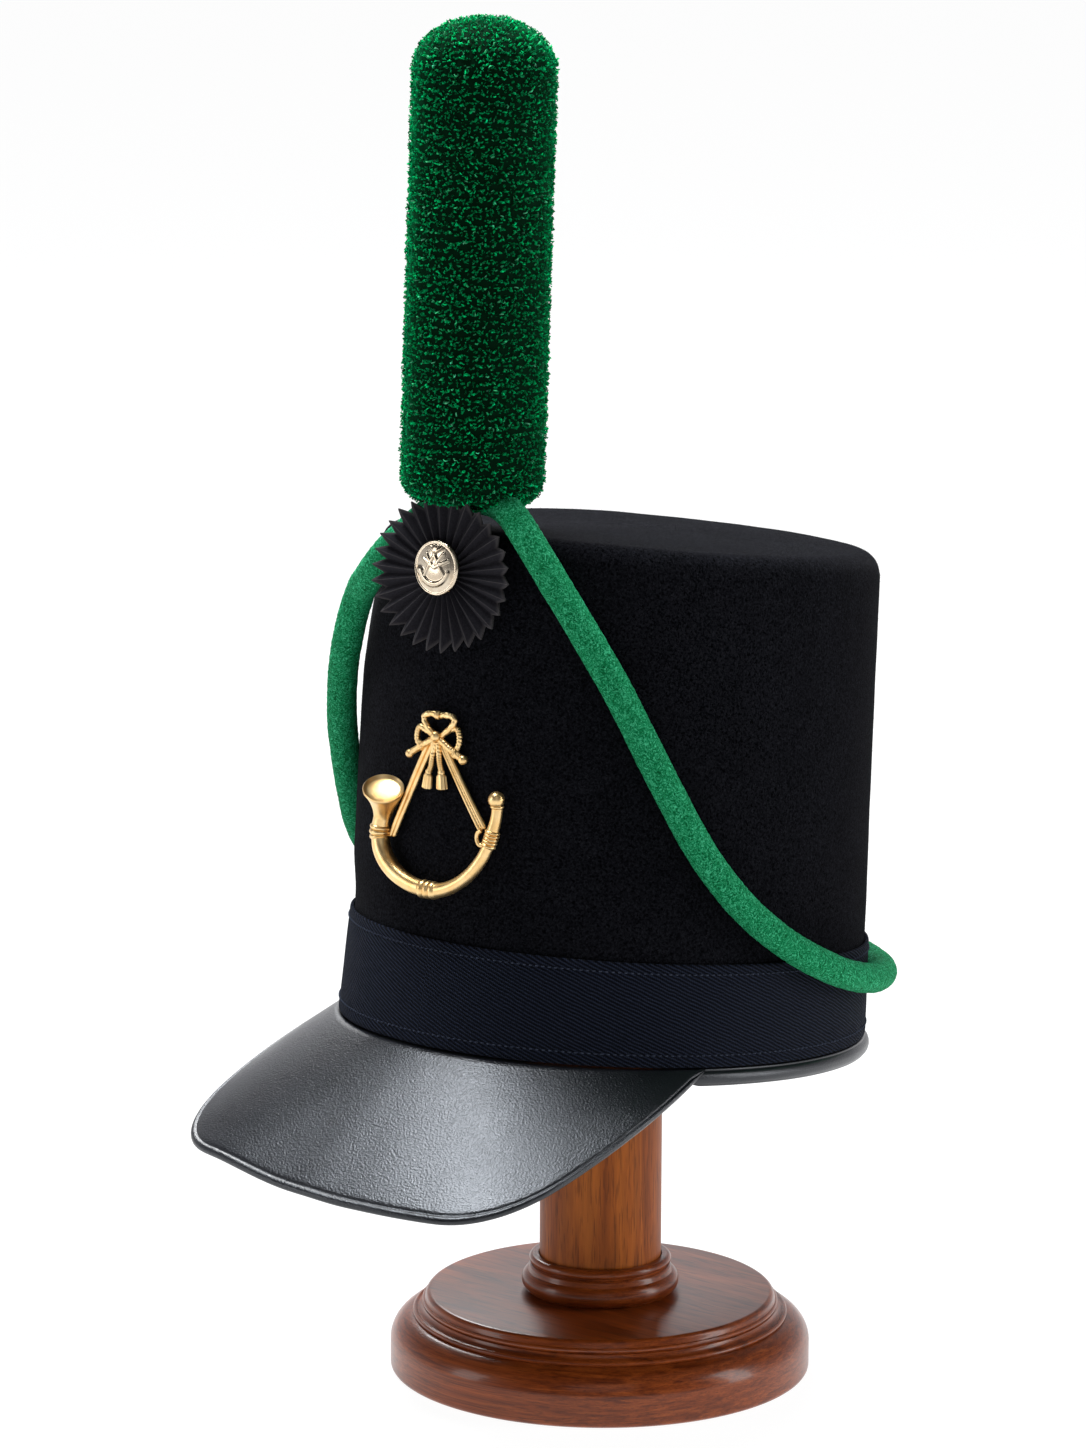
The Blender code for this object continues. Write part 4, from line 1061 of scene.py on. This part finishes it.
# first and last place along HORN, rings between them, and how far they stand out
HORN_RINGS = [(1.05, 3.0, 3, 0.00055), (7.75, 8.85, 3, 0.00055), (13.1, 15.0, 5, 0.00065)]
BELL_FACING = (0.312, -0.470, 0.825)
BELL_MOUTH = (-0.795, 0.555, 0.0062)
BELL_LIP = [(0.0073, 0.0002), (0.00735, 0.0006), (0.0071, 0.0009), (0.0068, 0.0007), (0.0065, 0.0003),
            (0.0055, -0.0001), (0.0040, -0.0004), (0.0022, -0.0006), (0.0003, -0.0007)]
# points, radius, how far it is lifted, twist of its strands, and height of its beads
ROPES = [
    ([(-0.155, 0.895), (-0.815, 0.282)], 0.00085, 0.0001, 0.0, 0.0),
    ([(-0.070, 0.895), (-0.745, 0.285)], 0.00085, 0.0001, 0.0, 0.0),
    ([(-0.112, 0.890), (-0.778, 0.284)], 0.00042, 0.0003, 0.0, 0.0),
    ([(-0.020, 0.895), (0.668, 0.420)], 0.00080, 0.0001, 0.0, 0.0),
    ([(0.050, 0.895), (0.738, 0.434)], 0.00080, 0.0001, 0.0, 0.0),
    ([(0.015, 0.895), (0.702, 0.427)], 0.00052, 0.0004, 0.0, 0.40),
    ([(0.700, 0.425), (0.650, 0.405), (0.640, 0.375), (0.668, 0.345), (0.720, 0.338), (0.770, 0.350)],
     0.00085, 0.0005, 0.0, 0.0),
    ([(-0.045, 0.908), (-0.168, 0.947), (-0.240, 0.988), (-0.238, 1.015), (-0.145, 1.031), (-0.011, 1.031),
      (0.117, 1.037), (0.222, 1.031), (0.238, 1.003), (0.159, 0.958), (0.037, 0.913)],
     0.00110, 0.0006, 0.10, 0.0),
    ([(-0.050, 0.906), (-0.212, 0.930), (-0.327, 0.944), (-0.372, 0.916), (-0.374, 0.870), (-0.312, 0.837)],
     0.00105, 0.0, 0.10, 0.0),
    ([(0.024, 0.912), (0.148, 0.951), (0.255, 0.969), (0.300, 0.944), (0.312, 0.899), (0.275, 0.845)],
     0.00105, 0.0, 0.10, 0.0),
    ([(-0.040, 0.898), (-0.248, 0.846), (-0.402, 0.803), (-0.472, 0.782)], 0.00118, 0.0008, 0.08, 0.0),
    ([(0.020, 0.900), (0.183, 0.858), (0.311, 0.826), (0.410, 0.805)], 0.00128, 0.0008, 0.08, 0.0),
    ([(-0.045, 0.900), (-0.079, 0.873), (-0.073, 0.815)], 0.00080, 0.0012, 0.0, 0.0),
    ([(-0.030, 0.880), (-0.080, 0.795), (-0.095, 0.737), (-0.125, 0.705)], 0.00100, 0.0008, 0.10, 0.0),
    ([(0.000, 0.880), (0.025, 0.802), (0.050, 0.750), (0.078, 0.715)], 0.00100, 0.0008, 0.10, 0.0),
]
# across, up, how the turns lean and their radius, then the balls' place across, up and out with their radius
WRAPS = [(-0.011, 1.031, 0.0, 0.00155), (-0.270, 0.840, 0.27, 0.00150), (0.285, 0.832, -0.24, 0.00165)]
BALLS = [(0.922, 0.613, 0.0029, 0.0029), (-0.005, 0.912, 0.0030, 0.0019), (-0.470, 0.783, 0.0020, 0.00155),
         (0.408, 0.805, 0.0021, 0.00175), (-0.073, 0.806, 0.0020, 0.00115)]
# top, foot and half breadth, and the share of that breadth from top to foot
TASSELS = [((-0.128, 0.712), (-0.153, 0.606), 0.0019), ((0.074, 0.722), (0.102, 0.616), 0.0021)]
TASSEL_SHAPE = [(0.0, 0.60), (0.10, 0.74), (0.16, 0.60), (0.22, 0.78), (0.30, 0.86), (0.96, 1.0), (1.0, 0.80)]


def badge_point(across, up, out):
    x = across * BADGE_HALF_WIDTH
    z = BADGE_FOOT + up * BADGE_LENGTH
    return np.array([x, -front_wall(z) + x**2 / (2 * BADGE_BEND_RADIUS) - GAP * 2 - out, z])


def add_badge(finish):
    """The horn with its bell, rings and ball, hung by two straps from a bow with tassels."""
    made = Shape()
    table = curve_points(HORN, 900)
    at = np.linspace(0, len(HORN) - 1, 901)
    radii = table[:, 2].copy()
    for start, end, count, proud in HORN_RINGS:
        wave = np.abs(np.sin((at - start) / (end - start) * math.pi * count))
        radii += np.where((at > start) & (at < end), proud * wave**0.7, 0.0)
    radii[-8:] *= np.linspace(1.0, 0.75, 8)
    path = np.array([badge_point(across, up, radius) for across, up, radius in table])
    made.tube(path, radii, 24)

    mouth = badge_point(*BELL_MOUTH)
    facing = np.array(BELL_FACING)
    start_way = unit(path[0] - path[12])
    turn = around(56)

    def ring(centre, way, radius):
        way = unit(way)
        side = unit(np.cross(way, (0.0, -1.0, 0.0)))
        return centre + circles(side, np.cross(way, side), turn) * radius

    rows = []
    bend = path[0] + start_way * 0.0052
    for part in np.linspace(0.0, 1.0, 26):
        centre = path[0] * (1 - part) ** 2 + bend * 2 * part * (1 - part) + mouth * part**2
        rows.append(ring(centre, start_way * (1 - part) + facing * part, mix(0.0031, 0.0072, part**1.3)))
    rows += [ring(mouth + facing * rise, facing, radius) for radius, rise in BELL_LIP]
    made.grid(np.array(rows), caps=True)

    globe = turned([(math.sin(a), math.cos(a)) for a in np.linspace(0.02, math.pi - 0.02, 16)], 24)
    for across, up, out, radius in BALLS:
        made.grid(badge_point(across, up, out) + globe * radius, caps=True)
    collar = [badge_point(0.919, up, 0.0022) for up in (0.560, 0.566, 0.572, 0.578, 0.584)]
    made.tube(collar, [0.0019, 0.0024, 0.0025, 0.0024, 0.0019], 24)

    for points, radius, lift, twist, beads in ROPES:
        straight = len(points) == 2
        line = np.linspace(points[0], points[1], 111) if straight else curve_points(points, 90)
        spots = np.array([badge_point(across, up, radius + lift) for across, up in line])
        sizes = radius * (1 + beads * np.abs(np.sin(np.arange(len(spots)) * math.pi / 4)))
        sizes[[0, -1]] *= 0.45
        sizes[[1, -2]] *= 0.85

        def strands(i, a, twist=twist):
            return twist * np.sin(2 * a + i * 0.9)

        made.tube(spots, sizes, 14, twist=strands if twist else None)
    for across, up, lean, radius in WRAPS:
        spread = np.linspace(-0.034, 0.034, 13)
        spots = np.array([badge_point(across + s, up - s * lean, 0.0019) for s in spread])
        made.tube(spots, radius * (0.84 + 0.16 * np.abs(np.sin(np.arange(13) * math.pi / 4))), 20)
    for top, foot, width in TASSELS:
        share = np.linspace(0, 1, 48)
        line = mix(np.array(top), np.array(foot), share[:, None])
        spots = np.array([badge_point(across, up, 0.0019) for across, up in line])
        spread = np.interp(share, *zip(*TASSEL_SHAPE))

        def fringe(i, a):
            return 0.09 * np.cos(9 * a) * (i > 12)

        made.tube(spots, spread * width, 36, flat=0.72, flat_way=(0.0, 1.0, 0.0), twist=fringe)
    made.points = [to_world(block) for block in made.points]
    made.piece("badge_horn", finish, "brass", ["badge"], smooth=60)


# Cord

def add_cord(cloth):
    """The cord as a tube with a crinkled face, close to the CAD's own route."""
    route = to_world(curve_points(CORD_ROUTE, 65))
    fine = curve_points(route, 1500)
    _, side, other = frames_along(fine)
    ring = circles(side, other, around(34))
    radius = CORD_DIAMETER / 2 - 0.00012
    skin = fine[:, None] + ring * radius
    rough = wobble(skin, 0.0011, 1.0) * 0.00022 + wobble(skin, 0.011) * 0.00016
    made = Shape()
    made.grid(fine[:, None] + ring * (radius + rough)[..., None], caps=True)
    piece = made.piece("cord_crepe", cloth, "cord_cloth", ["cord"], smooth=180)


# Stand

def lathe(name, profile, finish, slot, replaces, sides=160, caps=True):
    """profile is (radius, height) in metres, from the top middle down the outside to the bottom middle."""
    made = Shape()
    made.grid(turned(profile, sides), caps=caps)
    made.piece(name, finish, slot, replaces, smooth=28)


def arc(centre, radius, start, end, count=8):
    """Points of a round moulding, angles in degrees from straight out to straight up."""
    return [(centre[0] + radius * math.cos(math.radians(a)), centre[1] + radius * math.sin(math.radians(a)))
            for a in np.linspace(start, end, count)]


def add_stand(dark, light):
    """The turned base, the collar round the post's foot, and the post."""
    profile = [(0.0005, BASE_TOP), (0.030, BASE_TOP), (0.0612, BASE_TOP)]
    profile += arc((0.0612, BASE_TOP - 0.0020), 0.0020, 82, 0, 6)
    profile += arc((0.0634, BASE_TOP - 0.0036), 0.0010, 80, -70, 6)
    profile += arc((0.0664, BASE_TOP - 0.0046), 0.0022, 185, 262, 5)
    profile += arc((0.0668, BASE_TOP - 0.0074), 0.0010, 85, -60, 6)
    profile += [(0.0655 + 0.0104 * math.sin(a), 0.0105 + 0.0100 * math.cos(a))
                for a in np.radians(np.linspace(14, 90, 14))]
    profile += [(BASE_RADIUS, 0.0060), (BASE_RADIUS, 0.0026)]
    profile += arc((BASE_RADIUS - 0.0018, 0.0020), 0.0018, 0, -85, 5)
    profile += [(0.0740, 0.0), (0.0300, 0.0), (0.0005, 0.0)]
    lathe("base_wood", profile, dark, "mahogany", ["stand_base"])

    bottom = BASE_TOP + GAP
    top = bottom + COLLAR_HEIGHT
    hole = POST_RADIUS + COLLAR_PLAY
    ring = [(hole, top), (0.0240, top)]
    ring += arc((0.0240, top - 0.0017), 0.0017, 88, -20, 7)
    ring += [(0.0249, bottom + 0.0106), (0.0248, bottom + 0.0098)]
    ring += arc((0.0243, bottom + 0.0085), 0.0016, 60, 0, 4)
    ring += [(0.0262, bottom + 0.0076)]
    ring += arc((0.0245, bottom + 0.0040), 0.0040, 62, -72, 12)
    ring += [(0.0262, bottom), (hole, bottom), (hole, top)]
    lathe("collar_wood", ring, dark, "mahogany", ["stand_collar"], 140, caps=False)

    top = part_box("stand_post")[1][2]
    post = [(0.0005, top), (POST_RADIUS - 0.0001, top), (POST_RADIUS, top - 0.0002), (POST_RADIUS, 0.15),
            (POST_RADIUS, bottom), (0.0005, bottom)]
    lathe("post_wood", post, light, "chestnut", ["stand_post"], 120)


def dress_nodes(finishes):
    """The CAD nodes that stay in view take a finish of their own."""
    for name, finish in finishes.items():
        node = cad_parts[name]
        if not node.material_slots:
            node.data.materials.append(finish)
        for spot in node.material_slots:
            spot.material = finish


# Stage

def add_light(name, place, target, size, power, colour=(1.0, 1.0, 1.0)):
    lamp = bpy.data.lights.new(name, "AREA")
    lamp.shape = "RECTANGLE"
    lamp.size, lamp.size_y = size
    lamp.energy = power
    lamp.color = colour
    made = add_object(name, lamp)
    made.location = place
    made.rotation_euler = (Vector(target) - Vector(place)).to_track_quat("-Z", "Y").to_euler()


def add_stage():
    mesh = bpy.data.meshes.new("floor")
    corners = [(x * FLOOR_REACH, y * FLOOR_REACH, 0.0) for x, y in ((-1, -1), (1, -1), (1, 1), (-1, 1))]
    mesh.from_pydata(corners, [], [(0, 1, 2, 3)])
    floor = add_object("floor", mesh)
    floor.location.z = -0.0001
    paper = Maker("paper", (0.14, 0.14, 0.14), 1.0, Specular_IOR_Level=0.0, Emission_Strength=0.955)
    paper.set("Emission Color", (1.0, 1.0, 1.0, 1.0))
    mesh.materials.append(paper.material)

    world = bpy.data.worlds.new("studio")
    bpy.context.scene.world = world
    world.use_nodes = True
    made = Nodes(world.node_tree)
    heading = made.node("ShaderNodeTexCoord").outputs["Generated"]
    facing = made.node("ShaderNodeVectorMath", {"operation": "DOT_PRODUCT"}, i0=heading, i1=BRIGHT_WAY)
    half = made.math("MULTIPLY_ADD", facing.outputs["Value"], 0.5, 0.42)
    shade = made.ramp(half, [(0.0, (0.10, 0.10, 0.104)), (1.0, (0.95, 0.95, 0.988))])
    above = made.node("ShaderNodeSeparateXYZ", Vector=heading).outputs["Z"]
    ceiling = made.node("ShaderNodeMapRange", Value=above, From_Min=0.12, From_Max=0.50, To_Min=1.0,
                        To_Max=0.20)
    background = made.tree.nodes["Background"]
    made.tree.links.new(shade, background.inputs["Color"])
    made.tree.links.new(ceiling.outputs["Result"], background.inputs["Strength"])
    middle = (0.0, -0.02, 0.25)
    add_light("key", (-0.38, 0.08, 1.75), middle, (1.05, 0.85), 58.0, (0.94, 0.97, 1.0))
    add_light("right", (1.45, 0.85, 0.60), middle, (0.5, 1.4), 13.0)
    add_light("left", (-0.95, 0.85, 1.00), middle, (0.6, 0.5), 11.0)
    add_light("fill", (1.10, -1.30, 1.20), middle, (1.2, 1.2), 2.2)
    add_light("front_left", (-0.95, -1.25, 0.55), middle, (0.5, 0.8), 4.0)
    bpy.context.scene.view_settings.view_transform = "Standard"
    bpy.context.scene.view_settings.look = "None"
    bpy.context.scene.view_settings.exposure = 0.0


add_camera()
add_cord(crepe())
add_stage()

MAHOGANY = wood("mahogany", (0.410, 0.092, 0.017), (0.280, 0.055, 0.009), (0.130, 0.022, 0.004), "X",
                roughness=0.30, coat=0.22, sheen=0.30, grain=170.0)
CHESTNUT = wood("chestnut", (0.520, 0.140, 0.014), (0.370, 0.086, 0.007), (0.180, 0.035, 0.003), "Z",
                roughness=0.48, coat=0.04, sheen=0.18, grain=120.0)
BRASS = metal("brass", (0.960, 0.690, 0.340), (0.880, 0.560, 0.220), 0.35)
SILVER_GILT = metal("silver_gilt", (0.750, 0.650, 0.510), (0.570, 0.450, 0.320), 0.17, painted_shade=True)
STEEL = metal("steel", (0.050, 0.050, 0.054), (0.035, 0.034, 0.034), 0.45)

add_crown(felt(), nap())
add_band(twill(), thread())
add_binding(leather("welt", 0.32, 0.00008))
add_peak(leather("leather", 0.29, 0.00017))
add_cockade(ribbon())
add_button(SILVER_GILT)
add_badge(BRASS)
add_plume(wool())
add_stand(MAHOGANY, CHESTNUT)
dress_nodes({"stand_head": CHESTNUT, "plume_stem": STEEL})
